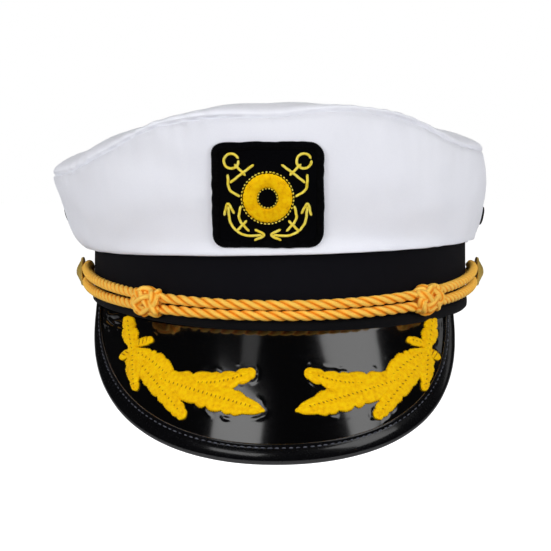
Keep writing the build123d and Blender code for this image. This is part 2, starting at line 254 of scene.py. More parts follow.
class Finish:
    """A node material under construction."""

    def __init__(self, name, colour, roughness, **sockets):
        self.material = bpy.data.materials.new(name)
        self.material.use_nodes = True
        self.tree = self.material.node_tree
        self.shader = self.tree.nodes["Principled BSDF"]
        self.shader.inputs["Base Color"].default_value = linear(colour)
        self.shader.inputs["Roughness"].default_value = roughness
        for socket, value in sockets.items():
            self.shader.inputs[socket.replace("_", " ")].default_value = value

    def node(self, kind, inputs=None, output=0, **settings):
        """Adds a node; its inputs are numbers, colours or other nodes' outputs."""
        made = self.tree.nodes.new(kind)
        for key, value in settings.items():
            setattr(made, key, value)
        for key, value in (inputs or {}).items():
            if isinstance(value, bpy.types.NodeSocket):
                self.tree.links.new(value, made.inputs[key])
            else:
                made.inputs[key].default_value = value
        return made.outputs[output]

    def link(self, value, socket):
        """Feeds a value to the shader."""
        self.tree.links.new(value, self.shader.inputs[socket])

    def math(self, operation, a, b=0.0, c=0.0):
        """One step of arithmetic."""
        return self.node("ShaderNodeMath", {0: a, 1: b, 2: c}, operation=operation)

    def thread(self, axis):
        """The thread coordinate in millimetres: 0 along, 1 across, 2 depth."""
        found = self.node("ShaderNodeAttribute", attribute_name="thread", output=1)
        return self.node("ShaderNodeSeparateXYZ", {0: found}, output=axis)

    def noise(self, size, detail):
        """Noise over the object's own coordinates, with features of about that many millimetres."""
        where = self.node("ShaderNodeTexCoord", output=3)
        inputs = {"Vector": where, "Scale": 1.0 / (size * MM), "Detail": detail}
        return self.node("ShaderNodeTexNoise", inputs)

    def wave(self, value, pitch):
        """A ripple from -1 to 1 with that pitch."""
        return self.math("SINE", self.math("MULTIPLY", value, 2 * math.pi / pitch))

    def ramp(self, value, stops):
        """Colours blended along a value from 0 to 1."""
        made = self.tree.nodes.new("ShaderNodeValToRGB")
        self.tree.links.new(value, made.inputs[0])
        set_stops(made.color_ramp, [(place, linear(colour)) for place, colour in stops])
        return made.outputs[0]

    def bump(self, height, depth, strength, normal=None):
        """Bump of that many millimetres for a height from 0 to 1."""
        inputs = {"Height": height, "Distance": depth * MM, "Strength": strength}
        if normal is not None:
            inputs["Normal"] = normal
        return self.node("ShaderNodeBump", inputs)

    def done(self, normal):
        """The material, with its bump connected."""
        self.link(normal, "Normal")
        return self.material


def woven(name, light, dark, pitch, roughness, sheen, depth=0.05, twill=False, gloss=0.3):
    """Woven cloth: warp and weft of one pitch, with slight mottling and painted shade where the weave dips.
    """
    cloth = Finish(name, light, roughness, Sheen_Weight=sheen, Sheen_Roughness=0.5, Specular_IOR_Level=gloss)
    along, across = cloth.thread(0), cloth.thread(1)
    if twill:
        diagonal = cloth.math("ADD", along, across)
        weave = cloth.math("ABSOLUTE", cloth.wave(diagonal, 2 * pitch))
        fine = cloth.math("MULTIPLY", cloth.wave(across, pitch / 2), 0.3)
        height = cloth.math("ADD", weave, fine)
    else:
        height = cloth.math("MULTIPLY", cloth.wave(along, pitch), cloth.wave(across, pitch))
    fuzz = cloth.noise(0.35, 2.0)
    cloudy = cloth.noise(30.0, 3.0)
    # colour follows the weave's height: painted shade in its hollows, with random mottling from the two
    # noises
    threads = cloth.math("MULTIPLY_ADD", height, 0.18, cloth.math("MULTIPLY_ADD", fuzz, 0.5, 0.1))
    mottle_and_painted_weave_shade = cloth.math("MULTIPLY_ADD", cloudy, 0.5, threads)
    cloth.link(cloth.ramp(mottle_and_painted_weave_shade, [(0.15, dark), (0.75, light)]), "Base Color")
    total = cloth.math("MULTIPLY_ADD", fuzz, 0.6, height)
    return cloth.done(cloth.bump(total, depth, 0.7))


def thread_finish(name, light, middle, dark, pitch, depth=0.12, slant=0.0, gloss=0.25):
    """Satin-stitched thread: ridges along one thread coordinate, with painted highlight on them and painted
    shade between them.
    """
    gold = Finish(name, middle, 0.5, Specular_IOR_Level=gloss)
    across = gold.math("MULTIPLY_ADD", gold.thread(1), slant, gold.thread(0))
    uneven = gold.math("MULTIPLY_ADD", gold.noise(2.5, 2.0), 0.5 * pitch, across)
    ridge = gold.math("ABSOLUTE", gold.wave(uneven, 2 * pitch))
    lift = gold.math("POWER", ridge, 0.5)
    patchy = gold.math("MULTIPLY_ADD", gold.noise(1.6, 3.0), 1.1, -0.3)
    # colour follows the ridges' height: painted shade between the stitches and painted highlight on their
    # tops; the patches are random tone
    painted_ridge_light_and_patches = gold.math("MULTIPLY_ADD", lift, 0.45, patchy)
    gold.link(gold.ramp(painted_ridge_light_and_patches, [(0.18, dark), (0.5, middle), (0.95, light)]), "Base Color")
    return gold.done(gold.bump(lift, depth, 0.8))


def hard_finish(name, colour, roughness, metallic=0.0, grain=1.0, depth=0.01, **sockets):
    """Metal, vinyl or board: fine grain and slightly uneven gloss."""
    hard = Finish(name, colour, roughness, Metallic=metallic, **sockets)
    texture = hard.noise(grain, 4.0)
    low, high = max(roughness - 0.05, 0.02), roughness + 0.08
    gloss = hard.node("ShaderNodeMapRange", {0: texture, 3: low, 4: high})
    hard.link(gloss, "Roughness")
    return hard.done(hard.bump(texture, depth, 0.6))


# In the woven cloths below, the dark colour serves random mottling and painted shade in the weave's hollows.
CROWN_CLOTH = woven("crown_cloth", "#F2F3FA", "#E6E7F1", 0.42, 0.85, 0.2)
LINING_CLOTH = woven("lining_cloth", "#DEDCD6", "#C9C6BE", 0.5, 0.8, 0.15)
BAND_CLOTH = woven("band_cloth", "#0F0F14", "#060608", 0.55, 0.8, 0.02, depth=0.1, twill=True, gloss=0.12)
PIPING_CLOTH = woven("piping_cloth", "#111114", "#070708", 0.5, 0.75, 0.03, depth=0.08, gloss=0.12)
VISOR_LINING = woven("visor_lining_cloth", "#1B1C1F", "#0D0D10", 0.6, 0.85, 0.05, depth=0.08, gloss=0.15)
LABEL_CLOTH = woven("label_cloth", "#E9E7E0", "#D6D3C9", 0.3, 0.7, 0.1)
SEAM_TAPE = woven("seam_tape", "#E7E7EA", "#CFCFD6", 0.8, 0.85, 0.1, twill=True)
BADGE_FELT = woven("badge_felt", "#08080B", "#030304", 0.7, 0.95, 0.0, depth=0.12, gloss=0.03)
# In the thread finishes below, the dark colour is painted shade between stitches and the light colour
# painted highlight on them.
GOLD_THREAD = thread_finish("gold_thread", "#FFD808", "#FABE02", "#CC8400", 0.42, depth=0.2, gloss=0.1)
PALE_GOLD = thread_finish("pale_gold_thread", "#FFF384", "#FFE546", "#D0A214", 0.4, slant=0.8, gloss=0.12)
BADGE_THREAD = thread_finish("badge_thread", "#0A0A0C", "#050506", "#020203", 0.55, depth=0.2, gloss=0.04)
# darker gold dots down each leaf's middle: painted shade of the vein's stitch holes
VEIN_HOLE_SHADE = thread_finish("vein_hole_shade", "#C4860C", "#A26A06", "#744A04", 0.3, depth=0.05, gloss=0.1)
# black stitch thread given pale grey tones: painted highlight standing in for the thread's glints
STITCH_THREAD_PAINTED_GLINT = thread_finish("stitch_thread_painted_glint", "#6A6D78", "#454750", "#17171B", 0.3, depth=0.06, gloss=0.4)
BRASS = hard_finish("button_brass", "#E6C464", 0.28, metallic=0.55, grain=0.8)
STEEL = hard_finish("retainer_steel", "#B9BCC2", 0.3, metallic=1.0, grain=0.6)
BLACK_ENAMEL = hard_finish("black_eyelet", "#101013", 0.28, metallic=0.3, grain=0.7)
STAY_BOARD = hard_finish("stay_board", "#6F6F72", 0.75, grain=1.5, depth=0.05)
SWEATBAND = hard_finish("sweatband_leather", "#151517", 0.5, grain=1.1, depth=0.12)
BINDING_COAT = {"Coat_Weight": 0.6, "Coat_Roughness": 0.12, "Coat_IOR": 2.0}
BINDING_VINYL = hard_finish("binding_vinyl", "#050507", 0.24, grain=0.9, depth=0.02, **BINDING_COAT)


def make_patent():
    """Patent vinyl: black under a clear gloss coat, hardly wavy."""
    coat = {"Coat_Weight": 1.0, "Coat_Roughness": 0.09, "Coat_IOR": 2.2}
    patent = Finish("patent_vinyl", "#020203", 0.16, Specular_IOR_Level=0.2, **coat)
    slow = patent.noise(11.0, 1.0)
    fine = patent.noise(0.5, 2.0)
    wavy = patent.bump(slow, 0.05, 0.6)
    rough = patent.node("ShaderNodeMapRange", {0: fine, 3: 0.12, 4: 0.22})
    patent.link(rough, "Roughness")
    normal = patent.bump(fine, 0.003, 0.5, wavy)
    patent.tree.links.new(wavy, patent.shader.inputs["Coat Normal"])
    return patent.done(normal)


def make_rayon():
    """Twisted rayon cord: painted highlight on the strands' pale ridges, painted shade in deep orange
    between the strands, fine yarns across.
    """
    rayon = Finish("cord_rayon", "#F6A235", 0.4, Specular_IOR_Level=0.28)
    # each strand's outside is painted lighter and its side towards the rope's middle darker: painted
    # highlight and painted shade
    depth = rayon.math("MULTIPLY_ADD", rayon.thread(2), 0.5, 0.5)
    yarn = rayon.math("MULTIPLY_ADD", rayon.thread(1), 0.9, rayon.thread(0))
    uneven = rayon.math("MULTIPLY_ADD", rayon.noise(2.0, 2.0), 0.4, yarn)
    fibres = rayon.math("ABSOLUTE", rayon.wave(uneven, 0.9))
    painted_light_and_yarn_tone = rayon.math("MULTIPLY_ADD", fibres, 0.2, rayon.math("MULTIPLY", depth, 0.82))
    # the darkest stop is the painted shade in the crevices, the palest the painted highlight on the ridges
    stops = [(0.2, "#963402"), (0.45, "#E27808"), (0.68, "#F79C1F"), (0.9, "#FFCC5A")]
    rayon.link(rayon.ramp(painted_light_and_yarn_tone, stops), "Base Color")
    return rayon.done(rayon.bump(fibres, 0.06, 0.7))


PATENT_VINYL = make_patent()
CORD_RAYON = make_rayon()


# --- camera, light and floor ------------------------------------------------------------------

CAMERA_DISTANCE = 0.7
CAMERA_ELEVATION = 4.0
CAMERA_TARGET_Z = 0.020
CAMERA_LENS = 96.73
CAMERA_SHIFT = (-0.0082, -0.0183)
FLOOR_Z = -0.30
FLOOR_SIDE = 12.0
# height from the horizon (0) to straight above (1), and brightness of the surround there
SURROUND = [(0.0, 0.62), (0.3, 0.62), (0.55, 0.3), (0.75, 0.03), (1.0, 0.02)]
GLOSS_SURROUND = 0.006
# direction, distance, width, height and power, in metres and watts
CLOTH_LIGHTS = {
    "key_left": ((-0.88, -0.82, 0.38), 1.6, 0.9, 0.8, 13.6),
    "key_right": ((0.88, -0.82, 0.40), 1.6, 0.9, 0.8, 13.4),
    "top_back": ((0.05, 1.0, 0.38), 1.6, 1.2, 0.8, 11.0),
}
GLOSS_LIGHTS = {
    "panel_right": ((0.503, -0.290, 0.814), 1.2, 0.42, 0.60, 0.80),
    "panel_left_low": ((-0.303, -0.540, 0.785), 1.2, 0.45, 0.26, 0.42),
    "panel_left_high": ((-0.205, -0.385, 0.90), 1.2, 0.13, 0.13, 0.012),
    "panel_edge": ((0.86, 0.37, 0.37), 1.2, 0.20, 0.40, 0.07),
}


def make_camera():
    """Long lens, a little above the band."""
    data = bpy.data.cameras.new("camera")
    data.lens = CAMERA_LENS
    data.shift_x, data.shift_y = CAMERA_SHIFT
    camera = new_object("camera", data)
    tilt = math.radians(CAMERA_ELEVATION)
    back = CAMERA_DISTANCE * math.cos(tilt)
    camera.location = (0, -back, CAMERA_TARGET_Z + CAMERA_DISTANCE * math.sin(tilt))
    camera.rotation_euler = (math.pi / 2 - tilt, 0, 0)
    bpy.context.scene.camera = camera


def softbox(name, direction, distance, width, height, power, gloss_only):
    """Rectangular light that faces the cap, seen either by gloss alone or by all but gloss."""
    data = bpy.data.lights.new(name, "AREA")
    data.shape = "RECTANGLE"
    data.size, data.size_y = width, height
    data.energy = power
    lamp = new_object(name, data)
    aim = Vector(direction).normalized()
    lamp.location = aim * distance
    lamp.rotation_euler = aim.to_track_quat("Z", "Y").to_euler()
    lamp.visible_diffuse = not gloss_only
    lamp.visible_glossy = gloss_only
    lamp.visible_camera = False


def grey(level):
    """A colour of that brightness."""
    return (level, level, level, 1)


def sky_level(tree):
    """Brightness of the surround, by height."""
    where = tree.nodes.new("ShaderNodeTexCoord")
    split = tree.nodes.new("ShaderNodeSeparateXYZ")
    ramp = tree.nodes.new("ShaderNodeValToRGB")
    tree.links.new(where.outputs["Generated"], split.inputs[0])
    tree.links.new(split.outputs[2], ramp.inputs[0])
    set_stops(ramp.color_ramp, [(place, grey(level)) for place, level in SURROUND])
    return ramp.outputs[0]


def make_lights():
    """White backdrop, a soft surround that gloss hardly sees, and the two sets of softboxes."""
    world = bpy.data.worlds.new("studio")
    world.use_nodes = True
    tree = world.node_tree
    surround = sky_level(tree)
    rays = tree.nodes.new("ShaderNodeLightPath")
    for ray, level in (("Is Glossy Ray", GLOSS_SURROUND), ("Is Camera Ray", 1.0)):
        mix = tree.nodes.new("ShaderNodeMix")
        mix.data_type = "RGBA"
        tree.links.new(rays.outputs[ray], mix.inputs["Factor"])
        tree.links.new(surround, mix.inputs[6])
        mix.inputs[7].default_value = grey(level)
        surround = mix.outputs[2]
    tree.links.new(surround, tree.nodes["Background"].inputs[0])
    bpy.context.scene.world = world
    bpy.context.scene.view_settings.view_transform = "Standard"
    for lights, gloss_only in ((CLOTH_LIGHTS, False), (GLOSS_LIGHTS, True)):
        for name, setting in lights.items():
            softbox(name, *setting, gloss_only)


def make_floor():
    """Plain white floor, far below the cap."""
    paper = Finish("floor_paper", "#B4B4B6", 0.9)
    grain = paper.noise(4.0, 2.0)
    paper.link(paper.ramp(grain, [(0.3, "#B0B0B2"), (0.7, "#B8B8BA")]), "Base Color")
    paper.shader.inputs["Emission Color"].default_value = (1, 1, 1, 1)
    paper.link(paper.node("ShaderNodeLightPath"), "Emission Strength")
    mesh = bpy.data.meshes.new("floor")
    corners = [(x * FLOOR_SIDE, y * FLOOR_SIDE, FLOOR_Z) for x, y in ((-1, -1), (1, -1), (1, 1), (-1, 1))]
    mesh.from_pydata(corners, [], [(0, 1, 2, 3)])
    mesh.materials.append(paper.done(paper.bump(grain, 0.05, 0.3)))
    floor = new_object("floor", mesh)


# --- chin cord --------------------------------------------------------------------------------

CORD_RADIUS = 88.1
CORD_CENTRE_Y = -16.0
CORD_CENTRE_Z = 18.4
# the strands' heights at the buttons less their heights at the front, over the cord's reach
CORD_SLOPE = math.atan2(21.58 + 15.21 - 11.05 - 6.75, 2 * CORD_RADIUS)
STRAND_RADIUS = 1.2
STRAND_OFFSET = 1.0
FRONT_PITCH = 16.4
SIDE_PITCH = 9.6
# Left half of both strands' routes, from behind the shank to the front; the right half mirrors it.
# x, then y and z of the upper strand, then y and z of the lower one
CORD_ROUTES = [
    (-88.1, (-12.8, 18.4), (-12.8, 18.4)),
    (-88.1, (-12.4, 21.4), (-12.4, 15.4)),
    (-88.1, (-17.6, 21.6), (-17.6, 15.2)),
    (-88.1, (-27.9, 20.2), (-27.2, 14.1)),
    (-82.1, (-50.1, 17.5), (-49.5, 12.0)),
    (-70.5, (-70.1, 15.1), (-69.5, 10.0)),
    (-54.1, (-86.4, 13.2), (-85.9, 8.5)),
    (-34.0, (-97.9, 11.8), (-97.4, 7.3)),
    (-11.6, (-103.9, 11.1), (-103.4, 6.8)),
]
CORD_LENGTHS = {"upper": 0.287, "lower": 0.286}
ROPE_POINTS = 420
KNOT_ANGLES = {"left": -38.0, "right": 44.0}


def nurbs_line(name, route):
    """Points of the smooth line that a route's control points give."""
    curve = bpy.data.curves.new(name, "CURVE")
    curve.dimensions = "3D"
    curve.resolution_u = 24
    line = curve.splines.new("NURBS")
    line.points.add(len(route) - 1)
    for point, (x, y, z) in zip(line.points, route):
        point.co = (x * MM, y * MM, z * MM, 1)
    line.order_u = 3
    line.use_endpoint_u = True
    holder = bpy.data.objects.new(name, curve)
    mesh = bpy.data.meshes.new_from_object(holder)
    points = np.array([v.co for v in mesh.vertices]) / MM
    bpy.data.objects.remove(holder)
    bpy.data.meshes.remove(mesh)
    bpy.data.curves.remove(curve)
    return points


def front_angle(points):
    """Angle round the band of each point, from the front, in degrees."""
    return np.degrees(np.arctan2(points[:, 0], -(points[:, 1] - CORD_CENTRE_Y)))


def strand_phase(line):
    """Twist angle along a cord: a long lay between the knots and a tight one beside the buttons."""
    angle = front_angle(line)
    between = smooth((angle - KNOT_ANGLES["left"]) / 4) * smooth((KNOT_ANGLES["right"] - angle) / 4)
    rate = 2 * math.pi * (between / FRONT_PITCH + (1 - between) / SIDE_PITCH)
    step = np.concatenate([[0.0], np.diff(lengths(line))])
    return np.cumsum(rate * step)


def rope(shape, line, outward, phase, offset, radius, segments=10, closed=False):
    """Three strands laid round a line."""
    out, up = line_frame(line, outward, closed)
    for k in range(3):
        turn = phase + k * 2 * math.pi / 3
        lean = np.cos(turn)[:, None] * out + np.sin(turn)[:, None] * up
        tube(shape, line + offset * lean, radius, lean, segments, closed)


def make_cords():
    """Both strands of the chin cord, each a rope on its own smooth line."""
    for strand, name in enumerate(CORD_LENGTHS):
        half = [(x, *places[strand]) for x, *places in CORD_ROUTES]
        route = half + [(-x, y, z) for x, y, z in reversed(half)]
        line = resample(nurbs_line(f"route_{name}", route), ROPE_POINTS)
        outward = unit(line * FLAT - (0, CORD_CENTRE_Y, 0))
        shape = Shape()
        rope(shape, line, outward, strand_phase(line), STRAND_OFFSET, STRAND_RADIUS)
        cord = shape.make(f"cord_{name}", CORD_RAYON, [f"chin_cord_{name}"], body="chin_cord")


KNOT_LENGTH = 5.3
KNOT_HEIGHT = 4.5
KNOT_DEPTH = 3.0
KNOT_ROPE = 2.0
KNOT_STARTS = {"left": 0.35, "right": 1.1}
# radii from the cord's centre: of the rope's own line, and of the knot's flat back over band and piping
KNOT_INNER_LIMIT = 87.2
KNOT_BACK = 86.35
KNOT_BACK_LOW = 87.2
KNOT_LEADS = 4
KNOT_BIGHTS = 5
KNOT_POINTS = 760
KNOT_STANDOFF = 0.9
KNOT_TWIST_LENGTH = 24
KNOT_END_TAPER = 0.22
KNOT_WANDER = 0.15


def cord_place(angle, radial, height):
    """Point in the cord's sloping plane, at an angle from the front and a height across it."""
    turn = np.radians(angle)
    along = -radial * np.cos(turn)
    y = CORD_CENTRE_Y + along * math.cos(CORD_SLOPE) - height * math.sin(CORD_SLOPE)
    z = CORD_CENTRE_Z + along * math.sin(CORD_SLOPE) + height * math.cos(CORD_SLOPE)
    return np.stack([radial * np.sin(turn), y, z], axis=-1)


def press_on_band(points):
    """Knot points with its hidden back pressed flat, clear of the band and of its piping."""
    y, z = points[:, 1] - CORD_CENTRE_Y, points[:, 2] - CORD_CENTRE_Z
    along = y * math.cos(CORD_SLOPE) + z * math.sin(CORD_SLOPE)
    height = z * math.cos(CORD_SLOPE) - y * math.sin(CORD_SLOPE)
    back = KNOT_BACK + (KNOT_BACK_LOW - KNOT_BACK) * smooth((-2.8 - height) / 1.5)
    radial = np.maximum(np.hypot(points[:, 0], along), back)
    return cord_place(np.degrees(np.arctan2(points[:, 0], -along)), radial, height)


def make_knots():
    """Turk's head knots: one rope that goes four times round both strands, over and under itself."""
    for name, place in KNOT_ANGLES.items():
        t = circle(KNOT_POINTS)
        weave = 1.0 + KNOT_WANDER * np.cos((2 * KNOT_LEADS - 2) * KNOT_BIGHTS / 2 * t + 0.6)
        turn = KNOT_LEADS * t + KNOT_STARTS[name]
        across = KNOT_DEPTH * weave * np.cos(turn)
        height = KNOT_HEIGHT * weave * np.sin(turn)
        along = KNOT_LENGTH * np.sin(KNOT_BIGHTS * t)
        narrow = 1 - KNOT_END_TAPER * (along / KNOT_LENGTH) ** 2
        radial = np.maximum(CORD_RADIUS + KNOT_STANDOFF + across * narrow, KNOT_INNER_LIMIT)
        angle = place + np.degrees(along / CORD_RADIUS)
        line = cord_place(angle, radial, height * narrow)
        core = cord_place(angle, np.full_like(t, CORD_RADIUS), 0 * t)
        shape = Shape()
        turns = round(lengths(line)[-1] / KNOT_TWIST_LENGTH)
        rope(shape, line, unit(line - core), turns * t, 0.42 * KNOT_ROPE, 0.62 * KNOT_ROPE, 9, closed=True)
        shape.points = [press_on_band(points) for points in shape.points]
        shape.make(f"knot_{name}_weave", CORD_RAYON, [f"knot_{name}"], body=f"knot_{name}_slider")


# --- band -------------------------------------------------------------------------------------

BAND_RADIUS = 85.0
BAND_STRAIGHT = 16.0
BAND_TOP = 30.8
ARCH_RISE = 5.5
ARCH_FALL = 1860.0
ARCH_ROLL = math.tan(math.radians(1.0))
STRAIGHT_SHARE = 6.0
# half of the way round, in millimetres, for the thread coordinates of band, wall and lining
HALF_ROUND = 318
WALL_HALF_ROUND = 330
LINING_HALF_ROUND = 320
BAND_COLUMNS = 480
SWEATBAND_RADII = (82.0, 81.6)
SWEATBAND_TOP = 27.0
STITCH_RADIUS = 80.95
STITCH_HEIGHT = 2.6
STITCH_HALF_ANGLE = 0.42
LABEL_RADIUS = 80.85
LABEL_HALF_ANGLE = 11.5
LABEL_HEIGHTS = (7.0, 21.6)
# inside points that sheets face away from
BAND_INSIDE = (0, 0, 15)
CROWN_INSIDE = (0, 0, 50)
# how far out of the band's radius and how high over its lower edge
PIPING_SECTION = [
    (-0.7, 0.3), (0.1, -0.3), (0.75, 0.4), (0.85, 1.6), (0.8, 2.9), (0.55, 3.9), (-0.1, 4.3), (-0.6, 3.6),
]


def slot_point(angle, half_width, straight):
    """Point (x, y) of a slot outline; the angle runs from -180 to 180 with 0 at the front."""
    turn = np.abs(angle)
    arc = 90.0 - STRAIGHT_SHARE
    front = np.radians(np.minimum(turn, arc) * 90 / arc)
    back = np.radians(90 + np.maximum(turn - 90 - STRAIGHT_SHARE, 0) * 90 / arc)
    side = np.clip((turn - arc) / (2 * STRAIGHT_SHARE), 0, 1)
    bend = np.where(turn < 90, front, back)
    x = np.sign(angle) * half_width * np.sin(bend)
    y = -half_width * np.cos(bend) + straight * (2 * side - 1)
    return x, y


def arch(x, y):
    """Height of the band's lower edge."""
    return ARCH_RISE - y**2 / ARCH_FALL - x * ARCH_ROLL


def loop_angles(count):
    """Angles right round the cap, starting and ending at the back."""
    return np.linspace(-180, 180, count, endpoint=False)


def band_line(angle, radius, height):
    """A level or waved line round the band."""
    x, y = slot_point(angle, radius, BAND_STRAIGHT)
    return np.stack(np.broadcast_arrays(x, y, height), axis=-1)


def over_arch(angle, radius, lift):
    """A line round the band at a height over its arched lower edge."""
    x, y = slot_point(angle, radius, BAND_STRAIGHT)
    return np.stack([x, y, arch(x, y) + lift], axis=-1)


def upright_sheet(radii, lift, top):
    """Grid of an upright strip round the head, from its arched lower edge to its top."""
    angle = loop_angles(BAND_COLUMNS)
    points = np.array([over_arch(angle, radius, lift) for radius in radii])
    low = points[..., 2]
    points[..., 2] = low + np.linspace(0, 1, len(radii))[:, None] * (top - low)
    return points, thread_grid(angle / 180 * HALF_ROUND, points[..., 2])


def band_top(angle):
    """Top of the band's cloth, hidden by the crown's fold."""
    return np.maximum(BAND_TOP, 31.0 - by_angle(FOLD_DROP, angle))


def make_band():
    """Band cloth, its piping, the sweatband with its stitches, and the label."""
    angle = loop_angles(BAND_COLUMNS)
    bulge = 0.25 * np.sin(np.linspace(0, math.pi, 22))
    points, threads = upright_sheet(BAND_RADIUS - 0.25 + bulge, 0.15, band_top(angle))
    points = roughened(points, 0.12, 14.0, 3, normals_of(points, True))
    band = sheet_piece("band_cloth_strip", BAND_CLOTH, "hat_band", points, threads, 0.7, BAND_INSIDE)

    ring = np.array([over_arch(angle, BAND_RADIUS + out, up + 0.2) for out, up in PIPING_SECTION])
    ring[2:7] = roughened(ring[2:7], 0.1, 9.0, 5, unit(ring[2:7] * FLAT))
    piping = Shape()
    threads = thread_grid(angle / 180 * HALF_ROUND, np.arange(len(ring))[:, None] * 1.1)
    piping.grid(ring, threads, round_rows=True, round_cols=True)
    piping.make("band_piping_roll", PIPING_CLOTH, ["band_lower_piping"])

    points, threads = upright_sheet(np.linspace(*SWEATBAND_RADII, 16), 0.5, SWEATBAND_TOP)
    points -= (0.25 * np.abs(noise_at(points, 22.0, 7)))[..., None] * unit(points * FLAT)
    sweat = sheet_piece("sweatband_strip", SWEATBAND, "sweatband", points, threads, 0.8, BAND_INSIDE)
    stitches = Shape()
    for at in np.arange(-178, 180, 1.4):
        ends = np.array([at - STITCH_HALF_ANGLE, at + STITCH_HALF_ANGLE])
        line = resample(over_arch(ends, STITCH_RADIUS, STITCH_HEIGHT), 5)
        tube(stitches, line, [0.12, 0.24, 0.26, 0.24, 0.12], unit(-line * FLAT), 6)
    stitches.make("sweatband_stitches", STITCH_THREAD_PAINTED_GLINT, slot="sweatband_leather")

    half = np.linspace(180 - LABEL_HALF_ANGLE, 180, 24)
    angle = np.concatenate([half, -half[::-1][1:]])
    points = np.array([band_line(angle, LABEL_RADIUS, up) for up in np.linspace(*LABEL_HEIGHTS, 14)])
    points[..., 1] -= 0.12 + 0.1 * noise_at(points, 6.0, 2)
    threads = thread_grid(points[..., 0], points[..., 2])
    label = sheet_piece(
        "size_label_cloth", LABEL_CLOTH, "size_label", points, threads, 0.3, (0, 300, 15), joined=False
    )


# --- crown ------------------------------------------------------------------------------------

CROWN_BASE = 31.0
RIM_CENTRE_Z = 69.75
RIM_PITCH = math.radians(8.8)
RIM_ROLL = math.radians(3.4)
# share of the way to the rim, half width, straight half length, centre x, centre y
CROWN_SECTIONS = {
    "low": (0.14, 92.8, 11.4, -1.7, 0.7),
    "middle": (0.50, 95.9, 14.3, -2.3, -0.7),
    "high": (0.90, 96.9, 17.4, -4.5, -2.5),
    "rim": (1.00, 97.2, 17.8, -5.2, -3.0),
}
# how far the soft rim hangs below its plane, by angle from the front
RIM_DROOP = [
    (-180, 0.0), (-150, 1.5), (-120, 3.5), (-90, 4.2), (-74, 7.0), (-58, 11.3), (-49, 10.1), (-36, 6.0),
    (-28, 1.0), (-19, 0.0), (-10, 0.0), (0, 1.9), (6, 1.2), (11, -0.4), (22, -0.2), (33, 2.3), (41, 6.0),
    (51, 10.2), (63, 9.8), (76, 7.3), (90, 6.3), (115, 4.0), (150, 1.0), (180, 0.0),
]
# how far the crown's cloth folds down over the band, by angle from the front
FOLD_DROP = [
    (-180, 0.6), (-110, 1.0), (-75, 0.6), (-55, 0.6), (-35, 0.2), (0, -1.3), (35, -2.6), (60, -4.0),
    (80, -4.4), (110, -3.2), (180, 0.6),
]
# how much higher or lower the soft top stands than its usual profile, by angle from the front
TOP_SWELL = [
    (-180, 1.0), (-100, 0.9), (-60, 1.25), (-48, 1.4), (-41, 1.15), (-33, 0.65), (-26, 0.5), (-18, 0.75),
    (0, 1.0), (12, 0.75), (24, 0.25), (36, 0.25), (45, 0.85), (58, 1.1), (100, 0.9), (180, 1.0),
]
WALL_COLUMNS = 720
WALL_ROWS = 64
WALL_HEIGHT = 58
SEAM_ROWS = 8
TOP_ROWS = 72
TOP_SPACING = 1.25
CLOTH_THICKNESS = 0.9
SEAM_INSET = 1.1
SEAM_LIFT = 0.3
# where the badge and the eyelets hold the cloth still: x and z of the badge, y and z of the eyelets
BADGE_CENTRE = (-4.9, 55.6)
BADGE_SIZE = (44.5, 42.5)
EYELET_PLACES = [(-15.0, 45.0), (13.0, 43.0)]
# reach inwards and drop of the rows that turn in behind a seam
ALLOWANCE = [(0.5, 0.35), (1.3, 1.2)]
GATHER_LENGTH = 8.0
GATHER_RADIUS = 105
# inset from the rim and rise above its plane, from the seam to near the middle
TOP_PROFILE = [
    (SEAM_INSET, SEAM_LIFT), (0.6, 1.0), (0.4, 2.1), (2.2, 4.2), (7.0, 6.5), (14.0, 8.4), (26.0, 9.8),
    (44.0, 10.8), (70.0, 10.9), (98.0, 10.6),
]


def by_angle(table, angle):
    """Value of a table at an angle, smoothed."""
    places, values = zip(*table)
    spread = [np.interp(angle + shift, places, values, period=360) for shift in (-5, -2.5, 0, 2.5, 5)]
    return np.mean(spread, axis=0)


def on_plane(x, y, share, rise):
    """Point of a crown section: its plane tilts more and more towards the rim."""
    pitch, roll = -RIM_PITCH * share, -RIM_ROLL * share
    turned_x = x * math.cos(roll) + rise * math.sin(roll)
    turned_z = -x * math.sin(roll) + rise * math.cos(roll)
    turned_y = y * math.cos(pitch) - turned_z * math.sin(pitch)
    height = CROWN_BASE + share * (RIM_CENTRE_Z - CROWN_BASE) + y * math.sin(pitch)
    return np.stack([turned_x, turned_y, height + turned_z * math.cos(pitch)], axis=-1)


def section_line(angle, key, inset=0.0, rise=0.0):
    """One of the crown's sections, as a line of points."""
    share, half_width, straight, centre_x, centre_y = CROWN_SECTIONS[key]
    width = np.maximum(half_width - inset, 0.0)
    x, y = slot_point(angle, width, straight * np.minimum(1.0, width / 20))
    return on_plane(x + centre_x, y + centre_y, share, rise)


def down(amount):
    """Offset straight down."""
    return np.stack([0 * amount, 0 * amount, -amount], axis=-1)


def seam_allowance(edge):
    """Rows that turn in behind the seam from a panel's edge row, so that no gap shows."""
    inward = -unit(edge * FLAT)
    return np.stack([edge + reach * inward - (0, 0, drop) for reach, drop in ALLOWANCE])


def seam_line(angle, inward=0.0):
    """The rim seam, where the top panel meets the wall."""
    line = section_line(angle, "rim", SEAM_INSET + inward, SEAM_LIFT - inward)
    return line + down(by_angle(RIM_DROOP, angle))


